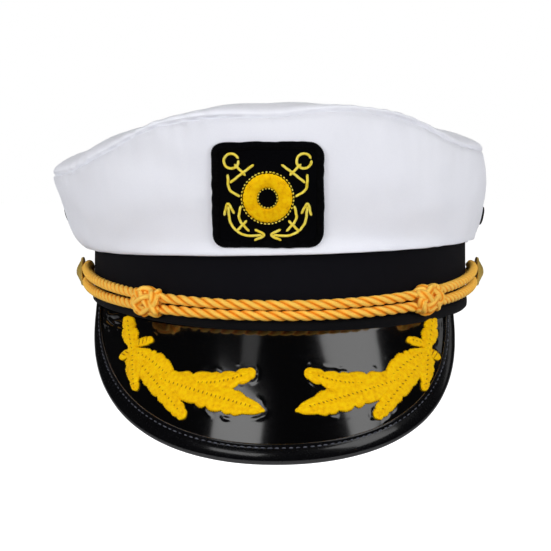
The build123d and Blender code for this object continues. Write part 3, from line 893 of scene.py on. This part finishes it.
def wall_grid(angle, rows=WALL_ROWS, inward=0.0):
    """Smooth wall of the crown, from under its fold over the band up to the rim seam."""
    droop = by_angle(RIM_DROOP, angle)
    fold = by_angle(FOLD_DROP, angle)
    knots = [
        band_line(angle, 85.2 - inward, np.maximum(31.4, 31.6 - fold)),
        band_line(angle, 85.9 - inward, 30.6 - fold),
        band_line(angle, 88.6 - inward, 30.9 - 0.75 * fold),
        section_line(angle, "low", inward) + down(0.1 * droop),
        section_line(angle, "middle", inward) + down(0.45 * droop),
        section_line(angle, "high", inward) + down(0.92 * droop),
        section_line(angle, "rim", 0.5 + inward, -0.5 - inward) + down(droop),
        seam_line(angle, inward),
    ]
    return spline(knots, np.linspace(0, 1, rows))


def pucker(angle, seed):
    """Gathers along the seam: an uneven ripple, stronger at the front left."""
    along = np.radians(angle) * GATHER_RADIUS
    points = np.stack([along, 0 * along, 0 * along], axis=-1)
    wander = noise_at(points, GATHER_LENGTH * 3, seed)
    ripple = np.sin(2 * math.pi * along / GATHER_LENGTH + 5 * wander)
    strength = 0.45 + 0.55 * np.exp(-(((angle + 38) / 45) ** 2))
    return ripple * strength * (0.6 + 0.4 * noise_at(points, GATHER_LENGTH * 5, seed + 1))


def eyelet_calm(points):
    """0 where an eyelet pinches the wall, 1 well away from it."""
    calm = np.ones(points.shape[:2])
    for y, z in EYELET_PLACES:
        away = np.hypot(points[..., 1] - y, points[..., 2] - z)
        calm = np.minimum(calm, smooth((away - 4.5) / 7))
    return np.where(np.abs(points[..., 0]) > 60, calm, 1.0)


def badge_calm(points):
    """0 where the badge and its stay hold the wall flat, 1 well away from it."""
    wide = np.abs(points[..., 0] - BADGE_CENTRE[0]) - BADGE_SIZE[0] / 2
    tall = np.abs(points[..., 2] - BADGE_CENTRE[1]) - BADGE_SIZE[1] / 2
    away = np.maximum(np.maximum(wide, tall), 0.0)
    behind = points[..., 1] > -60
    return np.where(behind, 1.0, smooth(away / 9))


def cloth_noise(points, seed, soft, fine):
    """Soft undulation of the cloth."""
    return soft * noise_at(points * (1, 1, 1.6), 42.0, seed) + fine * noise_at(points, 13.0, seed + 1)


def make_walls():
    """Front and back wall panels, with their side seams."""
    share = np.linspace(0, 1, WALL_ROWS)[:, None]
    near_seam = np.exp(-(((1 - share) / 0.24) ** 2)) * smooth((1 - share) / 0.17)
    loose = smooth((share - 0.16) / 0.2) * smooth((0.98 - share) / 0.16)
    heights = np.vstack([share, [[1.02], [1.04]]]) * WALL_HEIGHT
    for name, start, area in (("front", -90, 0.0195), ("back", 90, 0.0115)):
        angle = np.linspace(start, start + 180, WALL_COLUMNS // 2 + 1)
        turned = (angle + 180) % 360 - 180
        points = wall_grid(turned)
        normal = normals_of(points)
        normal *= np.sign((normal * (points - CROWN_INSIDE)).sum(-1).mean())
        calm = badge_calm(points) * eyelet_calm(points)
        gathers = 0.8 * near_seam * pucker(turned, 21)[None] * (0.4 + 0.6 * calm)
        from_seam = np.abs((angle + 180) % 180 - 90)
        groove = 0.8 * np.exp(-((from_seam / 0.5) ** 2))[None] * smooth((share - 0.2) / 0.1)
        lift = cloth_noise(points, 11, 1.3, 0.75) * loose * calm + gathers - groove
        points = points + lift[..., None] * normal
        # the cloth may not rise over the seam's groove
        edge = points[-SEAM_ROWS:, :, 2]
        points[-SEAM_ROWS:, :, 2] = np.minimum(edge, edge[-1] + 0.1)
        points = np.concatenate([points, seam_allowance(points[-1])])
        panel = sheet_piece(
            f"crown_{name}_wall", CROWN_CLOTH, f"crown_{name}_panel", points,
            thread_grid(angle[None] / 180 * WALL_HALF_ROUND, heights), CLOTH_THICKNESS, CROWN_INSIDE,
            joined=False,
        )


def top_grid(angle, rows, below=0.0):
    """Smooth top of the crown, from the rim seam to the middle."""
    droop = by_angle(RIM_DROOP, angle)
    swell = by_angle(TOP_SWELL, angle) - 1
    knots = []
    for inset, rise in TOP_PROFILE:
        keep = 1 - smooth((inset - 2) / 52)
        swollen = rise * swell * smooth((inset + 1) / 5) * (1 - smooth((inset - 10) / 60))
        sink = below * smooth(inset / 6) - swollen
        knots.append(section_line(angle, "rim", inset, rise) + down(droop * keep + sink))
    return spline(knots, np.linspace(0, 1, rows) ** TOP_SPACING)


def make_top():
    """Soft top panel, gathered into the rim seam."""
    angle = loop_angles(WALL_COLUMNS)
    points = top_grid(angle, TOP_ROWS)
    normal = normals_of(points, True)
    normal *= np.sign(normal[-10:, :, 2].mean())
    share = (np.linspace(0, 1, TOP_ROWS) ** TOP_SPACING)[:, None]
    near_seam = np.exp(-(((share - 0.2) / 0.13) ** 2))
    lift = cloth_noise(points, 31, 1.1, 0.35) * smooth((share - 0.08) / 0.2) * smooth((1 - share) / 0.2)
    lift = lift + 0.5 * near_seam * smooth(share / 0.15) * pucker(angle, 41)[None]
    points = points + lift[..., None] * normal
    points = np.concatenate([seam_allowance(points[0])[::-1], points])
    top = sheet_piece(
        "crown_top", CROWN_CLOTH, "crown_top_panel", points, points * FLAT,
        CLOTH_THICKNESS, (0, 0, 0), filled=True,
    )


# how far inside the wall each layer lies, and its rows of the wall's grid
TAPE_INWARD, TAPE_ROWS = 1.8, slice(42, 55)
STAY_INWARD, STAY_ROWS = 1.6, slice(14, 41)
LINING_INWARD, LINING_ROWS = 4.2, slice(3, -2)


def make_linings():
    """Rim tape, front stay, and the wall and top linings, inside the crown."""
    angle = loop_angles(360)
    around = angle / 180 * LINING_HALF_ROUND
    points = wall_grid(angle, inward=TAPE_INWARD)[TAPE_ROWS]
    threads = thread_grid(around[None], points[..., 2])
    tape = sheet_piece("rim_tape_strip", SEAM_TAPE, "crown_rim_tape", points, threads, 0.6, CROWN_INSIDE)

    points = wall_grid(np.linspace(-25.0, 20.0, 90), inward=STAY_INWARD)[STAY_ROWS]
    threads = thread_grid(points[..., 0], points[..., 2])
    sheet_piece(
        "crown_stay_sheet", STAY_BOARD, "crown_front_stay", points, threads, 0.9, CROWN_INSIDE, joined=False
    )

    above = top_grid(angle, 34, 4.0)[16:] - (0, 0, 1.6)
    points = np.concatenate([wall_grid(angle, 30, LINING_INWARD)[LINING_ROWS], above[:1]])
    points = roughened(points, 0.35, 20.0, 51, unit(points * FLAT))
    threads = thread_grid(around[None], points[..., 2])
    wall = sheet_piece("lining_wall", LINING_CLOTH, "crown_lining_side", points, threads, 0.4, CROWN_INSIDE)
    points = roughened(above, 0.5, 24.0, 52, (0, 0, 1))
    top = sheet_piece(
        "lining_top", LINING_CLOTH, "crown_lining_top", points, points * FLAT, 0.4, (0, 0, 0), filled=True
    )


# --- badge ------------------------------------------------------------------------------------


def wall_tree():
    """The smooth front wall as a search tree, in millimetres."""
    points = wall_grid(np.linspace(-60, 60, 241))[3:]
    rows, cols = points.shape[:2]
    faces = quads(np.arange(rows * cols).reshape(rows, cols))
    return BVHTree.FromPolygons(points.reshape(-1, 3).tolist(), faces)


WALL_TREE = wall_tree()


def on_wall(x, z, height):
    """Points over the front wall, given as the front view shows them."""
    flat_x, flat_z = np.broadcast_arrays(x, z)
    lift = np.broadcast_to(height, flat_x.shape)
    made = np.zeros(flat_x.shape + (3,))
    for place in np.ndindex(flat_x.shape):
        start = Vector((flat_x[place], -300, flat_z[place]))
        hit, normal, _, _ = WALL_TREE.ray_cast(start, Vector((0, 1, 0)))
        if normal.y > 0:
            normal = -normal
        made[place] = hit + normal * lift[place]
    return made


def badge_edge(inset, count=260):
    """Rounded outline of the badge in front view, evenly spaced."""
    half = np.array(BADGE_SIZE) / 2 - inset
    corner = max(5.8 - inset, 1.5)
    corners = []
    for sign_x, sign_z, start in ((1, 1, 0), (-1, 1, 90), (-1, -1, 180), (1, -1, 270)):
        turn = np.radians(np.linspace(start, start + 90, 12))
        x = sign_x * (half[0] - corner) + corner * np.cos(turn)
        z = sign_z * (half[1] - corner) + corner * np.sin(turn)
        corners.append(np.stack([x, z, 0 * x], axis=-1))
    outline = resample(np.vstack(corners + [corners[0][:1]]), count + 1)[:-1]
    return outline[:, 0] + BADGE_CENTRE[0], outline[:, 1] + BADGE_CENTRE[1]


def from_badge_centre(x, z, share):
    """Front-view places moved towards or away from the badge's centre."""
    return BADGE_CENTRE[0] + share * (x - BADGE_CENTRE[0]), BADGE_CENTRE[1] + share * (z - BADGE_CENTRE[1])


RING_CENTRE = (-4.9, 54.8)
RING_OUTSIDE = 9.7
RING_INSIDE = 4.2
FELT_TOP = 1.15
EYE_CENTRE = (14.2, 14.6)
EYE_RADIUS = 2.9


def stitched_line(shape, points, width=1.05, height=0.6, ridge=0.55):
    """A satin line over the felt, through a few points of the badge's front view."""
    line = spline([(x, z, 0) for x, z in points], np.linspace(0, 1, 40))
    count = max(12, int(lengths(line)[-1] / 0.14))
    line = resample(line, count)
    along = lengths(line)
    wobble = 0.06 * np.sin(along * 2.1 + points[0][0])
    x, z = line[:, 0] + RING_CENTRE[0] + wobble, line[:, 1] + RING_CENTRE[1]
    base, over = on_wall(x, z, FELT_TOP), on_wall(x, z, FELT_TOP + 1)
    reach = (0.5 * width) * (1 + 0.09 * np.sin(2 * math.pi * along / ridge))
    ends = np.minimum(along, along[-1] - along)
    reach *= np.sqrt(np.clip(ends / (0.5 * width), 0.12, 1))
    tube(shape, base, reach, unit(over - base), 8, flat=2 * height / width)


def dashes(shape, radius, count):
    """A ring of short stitches round the life ring's centre."""
    for k in range(count):
        ends = (k + np.array([0.0, 0.3, 0.6])) * 2 * math.pi / count
        dash = [(radius * math.cos(a), radius * math.sin(a)) for a in ends]
        stitched_line(shape, dash, 0.5, 0.4, 5.0)


def anchor_lines(lean):
    """Centre lines of one plain anchor that leans to one side (+1 or -1)."""
    crown = (-12.4, -13.4)
    lines = [
        [(13.0, 13.4), (8.6, 8.9)],
        [(-8.2, -8.9), crown],
        [(5.4, 13.2), (10.2, 9.6), (14.8, 6.0)],
        [crown, (-14.9, -9.4), (-15.6, -3.2)],
        [crown, (-8.2, -15.2), (-2.2, -15.0)],
        [(-13.2, -6.2), (-15.7, -2.2), (-17.2, -7.0)],
        [(-5.4, -17.3), (-1.4, -14.9), (-5.2, -12.6)],
        [(15.6, 9.4), (15.0, 3.6), (10.9, 0.6)],
        [(10.6, -3.0), (11.2, -8.4), (7.4, -13.4)],
    ]
    lines = [[(lean * x, z) for x, z in line] for line in lines]
    turns = np.linspace(0.3, 6.4, 12)
    x, z = lean * EYE_CENTRE[0] + EYE_RADIUS * np.cos(turns), EYE_CENTRE[1] + EYE_RADIUS * np.sin(turns)
    return lines[:2] + [list(zip(x, z))] + lines[2:]


def make_life_ring():
    """Satin ring over the felt, with a humped, slightly uneven top."""
    angle = circle(420)
    share = np.linspace(0, 1, 15)[:, None]
    uneven = 0.12 * np.sin(angle * 47) + 0.08 * np.sin(angle * 31 + 2)
    radius = RING_INSIDE + share * (RING_OUTSIDE - RING_INSIDE) + uneven[None] * (2 * share - 1)
    x = RING_CENTRE[0] + radius * np.cos(angle)
    z = RING_CENTRE[1] + radius * np.sin(angle)
    hump = 0.25 + 0.75 * np.sqrt(np.clip(1 - (2 * share - 1) ** 2, 0, 1))
    top = on_wall(x, z, 1.1 + 0.85 * hump + 0.07 * np.sin(angle * 98)[None] * hump)
    under = on_wall(x[::-1], z[::-1], 1.0)
    threads = thread_grid((angle * 7.0)[None], radius)
    ring = Shape()
    ring.grid(np.vstack([top, under]), np.vstack([threads, threads]), round_rows=True, round_cols=True)
    ring.make("badge_life_ring", GOLD_THREAD, ["badge_ring"])


def make_badge():
    """Felt ground, merrowed border, satin life ring and line-stitched anchors."""
    share = np.sqrt(np.linspace(0, 1, 34))[1:, None]
    points = on_wall(*from_badge_centre(*badge_edge(2.2), share), 1.0)
    points = roughened(points, 0.1, 1.4, 61, (0, -1, 0))
    felt = Shape()
    index = felt.grid(points, thread_grid(points[..., 0], points[..., 2]), round_cols=True)
    felt.fan(index[0, :-1], points[0].mean(0))
    felt.make("badge_felt_ground", BADGE_FELT, ["badge_patch"], 0.8, CROWN_INSIDE)

    x, z = badge_edge(1.5, 1200)
    outline = np.stack([x, 0 * x, z], axis=-1)
    uneven = 1 + 0.016 * noise_at(outline, 3.4, 63) + 0.012 * noise_at(outline, 9.0, 64)
    x, z = from_badge_centre(x, z, uneven)
    base, over = on_wall(x, z, 0.75), on_wall(x, z, 1.75)
    ribs = 1 + 0.07 * np.sin(2 * math.pi * lengths(base) / 0.62) + 0.03 * noise_at(base, 4.0, 62)
    border = Shape()
    tube(border, base, 1.55 * ribs, unit(over - base), 12, closed=True, flat=0.62)
    border.make("badge_merrowed_border", BADGE_THREAD, ["badge_border"])

    make_life_ring()
    lines = Shape()
    dashes(lines, RING_OUTSIDE + 0.6, 44)
    dashes(lines, RING_INSIDE - 0.4, 19)
    for lean in (-1, 1):
        for points in anchor_lines(lean):
            stitched_line(lines, points)
    lines.make("badge_anchor_lines", PALE_GOLD, ["badge_anchors"])


# --- eyelets ----------------------------------------------------------------------------------

# radius and height over the cloth, from inside the hole over the rolled edge and back
EYELET_PROFILE = [
    (2.0, -3.2), (2.0, -0.6), (2.05, 0.3), (2.5, 0.85), (3.2, 0.9), (4.0, 0.6), (4.4, 0.1), (4.35, -0.4),
    (3.9, -0.5), (2.5, -0.5), (2.4, -3.2),
]


def lathe(shape, centre, axis, profile, segments=48):
    """Turns a profile of (radius, height) round an axis."""
    axis = unit(np.array(axis, float))
    side = unit(np.cross(axis, (0, 0.1, 1.0)))
    angle = circle(segments)
    around = np.cos(angle)[:, None] * side + np.sin(angle)[:, None] * np.cross(axis, side)
    points = np.array([np.array(centre) + height * axis + radius * around for radius, height in profile])
    radii = np.array([radius for radius, _ in profile])[:, None]
    return shape.grid(points, thread_grid(angle[None] * radii, radii), round_cols=True)


def make_eyelets():
    """Rolled eyelets in both side walls."""
    for name, side in SIDES.items():
        shape = Shape()
        wall = wall_grid(np.linspace(side * 60, side * 120, 241))[6:50]
        flat = wall.reshape(-1, 3)
        for y, z in EYELET_PLACES:
            near = np.argmin((flat[:, 1] - y) ** 2 + (flat[:, 2] - z) ** 2)
            row, col = np.unravel_index(near, wall.shape[:2])
            normal = normals_of(wall)[row, col]
            normal *= np.sign(normal[0] * side)
            index = lathe(shape, flat[near] + 0.1 * normal, normal, EYELET_PROFILE)
            shape.faces += quads(index[[-1, 0]])
        shape.make(f"eyelet_rings_{name}", BLACK_ENAMEL, [f"vent_eyelets_{name}"])


# --- visor ------------------------------------------------------------------------------------

VISOR_X = -3.2
VISOR_RADIUS = 86.0
VISOR_FLARE = 0.12
VISOR_LEAN = 0.62
VISOR_HALF_WIDTH = 78.6
VISOR_DROP = 46.2
# how square each lower corner of the outline is, downwards and sideways; an ellipse has 0.55
LEFT_FULLNESS = (0.69, 0.65)
RIGHT_FULLNESS = (0.60, 0.82)
VISOR_BOW = 0.9
PUCKER_HEIGHT = 0.2
CRUMPLE_HEIGHT = 2.2
CRUMPLE_PLACE = (-71.5, 0.5)
LOBE_DEPTH = 0.22
# inset from the visor's edge and height over its surface, from the top flap round to the lower one
BINDING_SECTION = [
    (7.5, 0.0), (7.4, 0.55), (6.9, 0.85), (6.2, 0.7), (5.6, 0.38), (5.0, 0.62), (3.0, 0.8), (1.0, 0.72),
    (-0.1, 0.35), (-0.6, -0.5), (-0.62, -1.3), (-0.3, -2.2), (0.6, -2.75), (3.0, -2.85), (6.2, -2.8),
    (6.6, -2.4), (6.5, -2.1), (3.0, -1.2),
]
# base, bend and tip of the left sprig's leaves, widths at quarters and near the tip, and lobes
LEAVES = [
    ((-60.2, -11.5), (-62.9, -4.0), (-64.3, 3.2), (5.4, 7.6, 6.4, 4.6), 4),
    ((-62.0, -8.2), (-57.0, -6.2), (-52.4, -4.6), (2.4, 3.2, 3.2, 2.2), 2),
    ((-59.5, -8.9), (-63.6, -11.4), (-66.6, -13.9), (2.4, 3.0, 2.6, 1.8), 2),
    ((-60.4, -10.2), (-51.0, -13.8), (-41.4, -21.0), (6.4, 9.4, 8.4, 5.0), 6),
    ((-60.8, -9.5), (-60.0, -17.5), (-58.6, -24.8), (7.5, 7.2, 4.6, 2.4), 5),
    ((-57.5, -14.0), (-48.5, -22.0), (-37.4, -32.6), (8.5, 8.2, 6.9, 5.0), 7),
    ((-50.5, -17.5), (-30.5, -20.0), (-9.6, -14.8), (8.2, 8.6, 6.6, 4.4), 7),
    ((-50.0, -19.0), (-28.0, -24.0), (-5.8, -29.0), (9.0, 10.4, 8.6, 2.0), 8),
]


def visor_surface(x, z):
    """Point of the visor's outer cone at a place of the front view."""
    drop = -z
    radius = VISOR_RADIUS + VISOR_FLARE * drop
    y = CORD_CENTRE_Y - VISOR_LEAN * drop - np.sqrt(np.maximum(radius**2 - x**2, 1.0))
    return np.stack(np.broadcast_arrays(x, y, z), axis=-1)


def visor_normal(x, z):
    """Outward normal of the cone."""
    step = 0.01
    side = visor_surface(x + step, z) - visor_surface(x - step, z)
    rise = visor_surface(x, z + step) - visor_surface(x, z - step)
    normal = unit(np.cross(side, rise))
    return normal * np.where(normal[..., 1:2] > 0, -1, 1)


def visor_bow(x, z):
    """The skin stands a little proud between the band and the binding."""
    depth = np.clip(-z / VISOR_DROP, 0, 1)
    side = np.clip(1 - (np.abs(x - VISOR_X) / VISOR_HALF_WIDTH) ** 2, 0, 1)
    return VISOR_BOW * np.sin(math.pi * depth) * side


def on_visor(x, z, height):
    """Point at a height over the visor's skin."""
    x, z = np.broadcast_arrays(np.asarray(x, float), np.asarray(z, float))
    lift = np.asarray(height) + visor_bow(x, z)
    return visor_surface(x, z) + lift[..., None] * visor_normal(x, z)


def visor_top(x, gap):
    """Height at which the visor goes under the band's piping."""
    z = np.zeros_like(x)
    for _ in range(12):
        z = arch(x, visor_surface(x, z)[..., 1]) - gap
    return z


def visor_outline(inset, count):
    """Front-view line of the visor's free edge, from the left horn to the right one."""
    half_width, drop = VISOR_HALF_WIDTH - inset, VISOR_DROP - inset
    t = np.linspace(0, 1, count)[:, None]
    weights = [(1 - t) ** 3, 3 * (1 - t) ** 2 * t, 3 * (1 - t) * t**2, t**3]
    corners = []
    for side, (fall, spread) in ((-1, LEFT_FULLNESS), (1, RIGHT_FULLNESS)):
        reach = side * half_width
        knots = np.array([(reach, 0), (reach, -fall * drop), (spread * reach, -drop), (0, -drop)])
        corners.append(sum(weight * knot for weight, knot in zip(weights, knots)))
    line = np.vstack([corners[0], corners[1][::-1][1:]])
    return line[:, 0] + VISOR_X, line[:, 1]


def leaf_outline(base, bend, tip, widths, lobes, side):
    """Middle line of a leaf, the direction across it, its scalloped half width, and the distance along."""
    steps = np.linspace(0, 1, 130)
    control = np.array([base, bend, tip], float)
    a, b = (1 - steps)[:, None], steps[:, None]
    middle = 2 * control[1] - 0.5 * (control[0] + control[2])
    line = a**2 * control[0] + 2 * a * b * middle + b**2 * control[2]
    line[:, 0] *= side
    tangent = unit(np.gradient(line, axis=0))
    across = np.stack([-tangent[:, 1], tangent[:, 0]], axis=-1)
    half = np.interp(steps, [0, 0.25, 0.5, 0.75, 1.0], [widths[0] * 0.5, *widths]) / 2
    tip_round = np.sqrt(np.clip(1 - np.clip((steps - 0.93) / 0.07, 0, 1) ** 2, 0, 1))
    base_round = np.sqrt(np.clip((steps + 0.01) / 0.07, 0, 1))
    wander = 0.22 * np.sin(steps * 9 + base[0]) + 0.15 * np.sin(steps * 23 + tip[1])
    scallop = np.abs(np.sin(math.pi * (steps * lobes + 0.15 + wander))) ** 0.7
    depth = LOBE_DEPTH * (1 + 0.5 * np.sin(steps * 14 + tip[0]))
    half = np.maximum(half, 0.9) * (1.07 - depth * (1 - scallop)) * tip_round * base_round + 0.02
    along = lengths(np.column_stack([line, 0 * steps]))
    return line, across, half, along


def leaf_tube(shape, leaf, lift):
    """One padded leaf with a vein down its middle."""
    line, across, half, along = leaf
    seats = np.linspace(-1, 1, 17)
    ripple = 1 + 0.04 * np.sin(2 * math.pi * along / 0.9)
    profile = 0.95 * np.clip(1 - seats**2, 0, 1) ** 0.42 * (1 - 0.30 * np.exp(-((seats / 0.10) ** 2)))
    padding = 0.55 + 0.45 * np.minimum(1, half / 2.4)
    height = (0.12 + lift + profile[None] * padding[:, None]) * ripple[:, None]
    x = line[:, :1] + seats[None] * (half * ripple)[:, None] * across[:, :1]
    z = line[:, 1:] + seats[None] * (half * ripple)[:, None] * across[:, 1:]
    top = on_visor(x, z, height)
    under = on_visor(x[:, ::-1], z[:, ::-1], np.full_like(x, -0.2))
    away = seats[None] * half[:, None]
    threads = thread_grid(along[:, None] + 0.45 * np.abs(away), away)
    points = np.concatenate([top, under[:, 1:-1]], axis=1)
    threads = np.concatenate([threads, threads[:, ::-1][:, 1:-1]], axis=1)
    shape.grid(points, threads, round_cols=True, caps=True)


def make_leaves():
    """Two mirrored sprigs of satin-stitched leaves."""
    for name, side in (("left", 1), ("right", -1)):
        shape, veins = Shape(), Shape()
        for order, outline in enumerate(LEAVES):
            lift = 0.10 * (order % 3)
            leaf = leaf_outline(*outline, side)
            leaf_tube(shape, leaf, lift)
            line, across, half, along = leaf
            # a row of darker dots down the leaf's middle: painted shade of the vein's stitch holes
            for at in np.arange(2.5, along[-1] * 0.88, 1.75):
                i = int(np.searchsorted(along, at))
                if half[i] < 1.4:
                    continue
                spot = line[i] + np.array([-0.8, 0.0, 0.8])[:, None] * (across[i] + 0.5)
                x, z = spot[:, 0], spot[:, 1]
                tube(veins, on_visor(x, z, 0.78 + lift), [0.16, 0.3, 0.16], visor_normal(x, z), 6)
        shape.make(f"leaf_sprig_{name}", GOLD_THREAD, [f"visor_leaf_{name}"])
        veins.make(f"leaf_veins_{name}", VEIN_HOLE_SHADE, slot="gold_thread")


def edge_path(count):
    """Front-view line of the visor's free edge, from the left horn to the right one."""
    x, z = visor_outline(0.0, 120)
    tops = visor_top(x[[0, -1]], -0.6)
    x = np.concatenate([x[:1], x, x[-1:]])
    z = np.concatenate([tops[:1], z, tops[1:]])
    line = resample(np.stack([x, z, 0 * x], axis=-1), count)
    return line[:, 0], line[:, 1]


def edge_frame(x, z):
    """Edge points with their directions: towards the visor's inside, and out of its surface."""
    points = visor_surface(x, z)
    tangent = unit(np.gradient(points, axis=0))
    out = visor_normal(x, z)
    inward = unit(np.cross(out, tangent))
    middle = visor_surface(np.full_like(x, VISOR_X), np.full_like(z, -10.0))
    inward *= np.sign((inward * (middle - points)).sum(1, keepdims=True))
    return points, inward, out


def skin_relief(x, z):
    """Puckers of the vinyl round the embroidery, and its crumpled left horn."""
    outline = []
    for side in (1, -1):
        for leaf in LEAVES:
            line, across, half, _ = leaf_outline(*leaf, side)
            outline += [line + half[:, None] * across, line - half[:, None] * across]
    outline = np.vstack(outline)
    tree = KDTree(len(outline))
    for i, (edge_x, edge_z) in enumerate(outline):
        tree.insert((edge_x, edge_z, 0), i)
    tree.balance()
    flat = np.column_stack([x.ravel(), z.ravel()])
    away = np.array([tree.find((px, pz, 0))[2] for px, pz in flat]).reshape(x.shape)
    place = np.stack([x, z, 0 * x], axis=-1)
    uneven = np.clip(0.05 + 1.5 * noise_at(place, 5.0, 81), 0, 1)
    ridge = PUCKER_HEIGHT * uneven * np.exp(-(((away - 1.3) / 0.8) ** 2))
    horn = np.exp(-(((x - CRUMPLE_PLACE[0]) / 5.5) ** 2) - ((z - CRUMPLE_PLACE[1]) / 5.0) ** 2)
    crumple = CRUMPLE_HEIGHT * horn * np.abs(noise_at(place * (0.8, 1.2, 1), 2.6, 82))
    return ridge + crumple


def make_visor():
    """Patent skin, lining, and the folded binding with its stitches."""
    angle = np.radians(np.linspace(-89.0, 89.0, 440))
    x = VISOR_X + (VISOR_HALF_WIDTH - 2.0) * np.sin(angle)
    top = visor_top(x, -1.2)
    bottom = np.minimum(np.interp(x, *visor_outline(2.0, 400)), top - 2.0)
    z = top[None] + np.linspace(0, 1, 120)[:, None] * (bottom - top)[None]
    x = np.broadcast_to(x[None], z.shape)
    threads = thread_grid(x, z)
    points = on_visor(x, z, skin_relief(x, z))
    sheet_piece(
        "visor_patent_skin", PATENT_VINYL, "visor_skin", points, threads, 0.6, (0, 0, -400), joined=False
    )
    points = visor_surface(x, z) - 2.0 * visor_normal(x, z)
    sheet_piece(
        "visor_under_cloth", VISOR_LINING, "visor_lining", points, threads, 0.4, (0, -50, 400), joined=False
    )

    points, inward, out = edge_frame(*edge_path(520))
    waver = 0.05 * noise_at(points, 7.0, 71)
    rings = [points + inset * inward + (height + waver)[:, None] * out for inset, height in BINDING_SECTION]
    total = lengths(points)
    binding = Shape()
    threads = thread_grid(total[:, None], np.arange(len(rings))[None] * 1.0)
    binding.grid(np.stack(rings, axis=1), threads, round_cols=True, caps=True)
    binding.make("visor_binding_fold", BINDING_VINYL, ["visor_edge_binding"])

    stitches = Shape()
    for at in np.arange(6.0, total[-1] - 6.0, 2.9):
        near = [int(np.searchsorted(total, at + d)) for d in (-0.9, 0.0, 0.9)]
        line = points[near] + 5.6 * inward[near] + np.array([0.42, 0.62, 0.42])[:, None] * out[near]
        side = np.repeat(out[near[1:2]], 6, axis=0)
        tube(stitches, resample(line, 6), [0.1, 0.24, 0.28, 0.28, 0.24, 0.1], side, 7)
    stitches.make("visor_binding_stitches", STITCH_THREAD_PAINTED_GLINT, slot="binding_vinyl")


# --- buttons ----------------------------------------------------------------------------------

# radius and distance from the cap's middle, from behind the rim to the top of the dome
BUTTON_PROFILE = [
    (6.0, 90.5), (6.5, 90.45), (6.75, 90.75), (6.6, 91.15), (6.2, 91.3), (5.9, 91.15), (5.6, 91.4),
    (4.6, 92.2), (3.2, 92.95), (1.6, 93.4), (0.4, 93.5),
]
BUTTON_BEADS = 40
STAR_RAYS = 5


def raised_ray(shape, side, turn, radius, height, thick):
    """A short raised line on a button's face."""
    y, z = CORD_CENTRE_Y + radius * np.cos(turn), CORD_CENTRE_Z + radius * np.sin(turn)
    line = np.stack(np.broadcast_arrays(side * np.array(height), y, z), axis=1)
    tube(shape, line, thick, np.tile((side, 0, 0), (3, 1)).astype(float), 6)


def make_buttons():
    """Domed brass buttons: a roped rim round a plain star."""
    for name, side in SIDES.items():
        shape = Shape()
        index = lathe(shape, (0, CORD_CENTRE_Y, CORD_CENTRE_Z), (side, 0, 0), BUTTON_PROFILE, 72)
        shape.fan(index[-1, :-1], (side * 93.5, CORD_CENTRE_Y, CORD_CENTRE_Z))
        shape.fan(index[0, :-1], (side * 90.55, CORD_CENTRE_Y, CORD_CENTRE_Z))
        for k in range(BUTTON_BEADS):
            turn = 2 * math.pi * (k + np.array([0.1, 0.5, 0.9])) / BUTTON_BEADS
            raised_ray(shape, side, turn, np.array([5.75, 6.1, 6.45]), 91.35, [0.16, 0.3, 0.16])
        for k in range(STAR_RAYS):
            turn = 2 * math.pi * k / STAR_RAYS + math.pi / 2
            radius, height = np.array([0.4, 1.7, 3.0]), [93.55, 93.4, 93.05]
            raised_ray(shape, side, turn, radius, height, [0.5, 0.34, 0.08])
        shape.make(f"button_dome_{name}", BRASS, [f"button_shell_{name}"], body=f"button_{name}")


def finish_cad_nodes():
    """Materials of the stiff inner pieces, which keep their CAD shape."""
    finishes = {"band_stiffener": STAY_BOARD, "visor_board": STAY_BOARD}
    for side in SIDES:
        finishes[f"vent_washers_{side}"] = BLACK_ENAMEL
        finishes[f"button_back_{side}"] = BRASS
        finishes[f"button_retainer_{side}"] = STEEL
    for node, material in finishes.items():
        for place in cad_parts[node].material_slots:
            place.material = material


make_camera()
make_lights()
make_floor()
make_cords()
make_knots()
make_band()
make_walls()
make_top()
make_linings()
make_badge()
make_eyelets()
make_visor()
make_leaves()
make_buttons()
finish_cad_nodes()
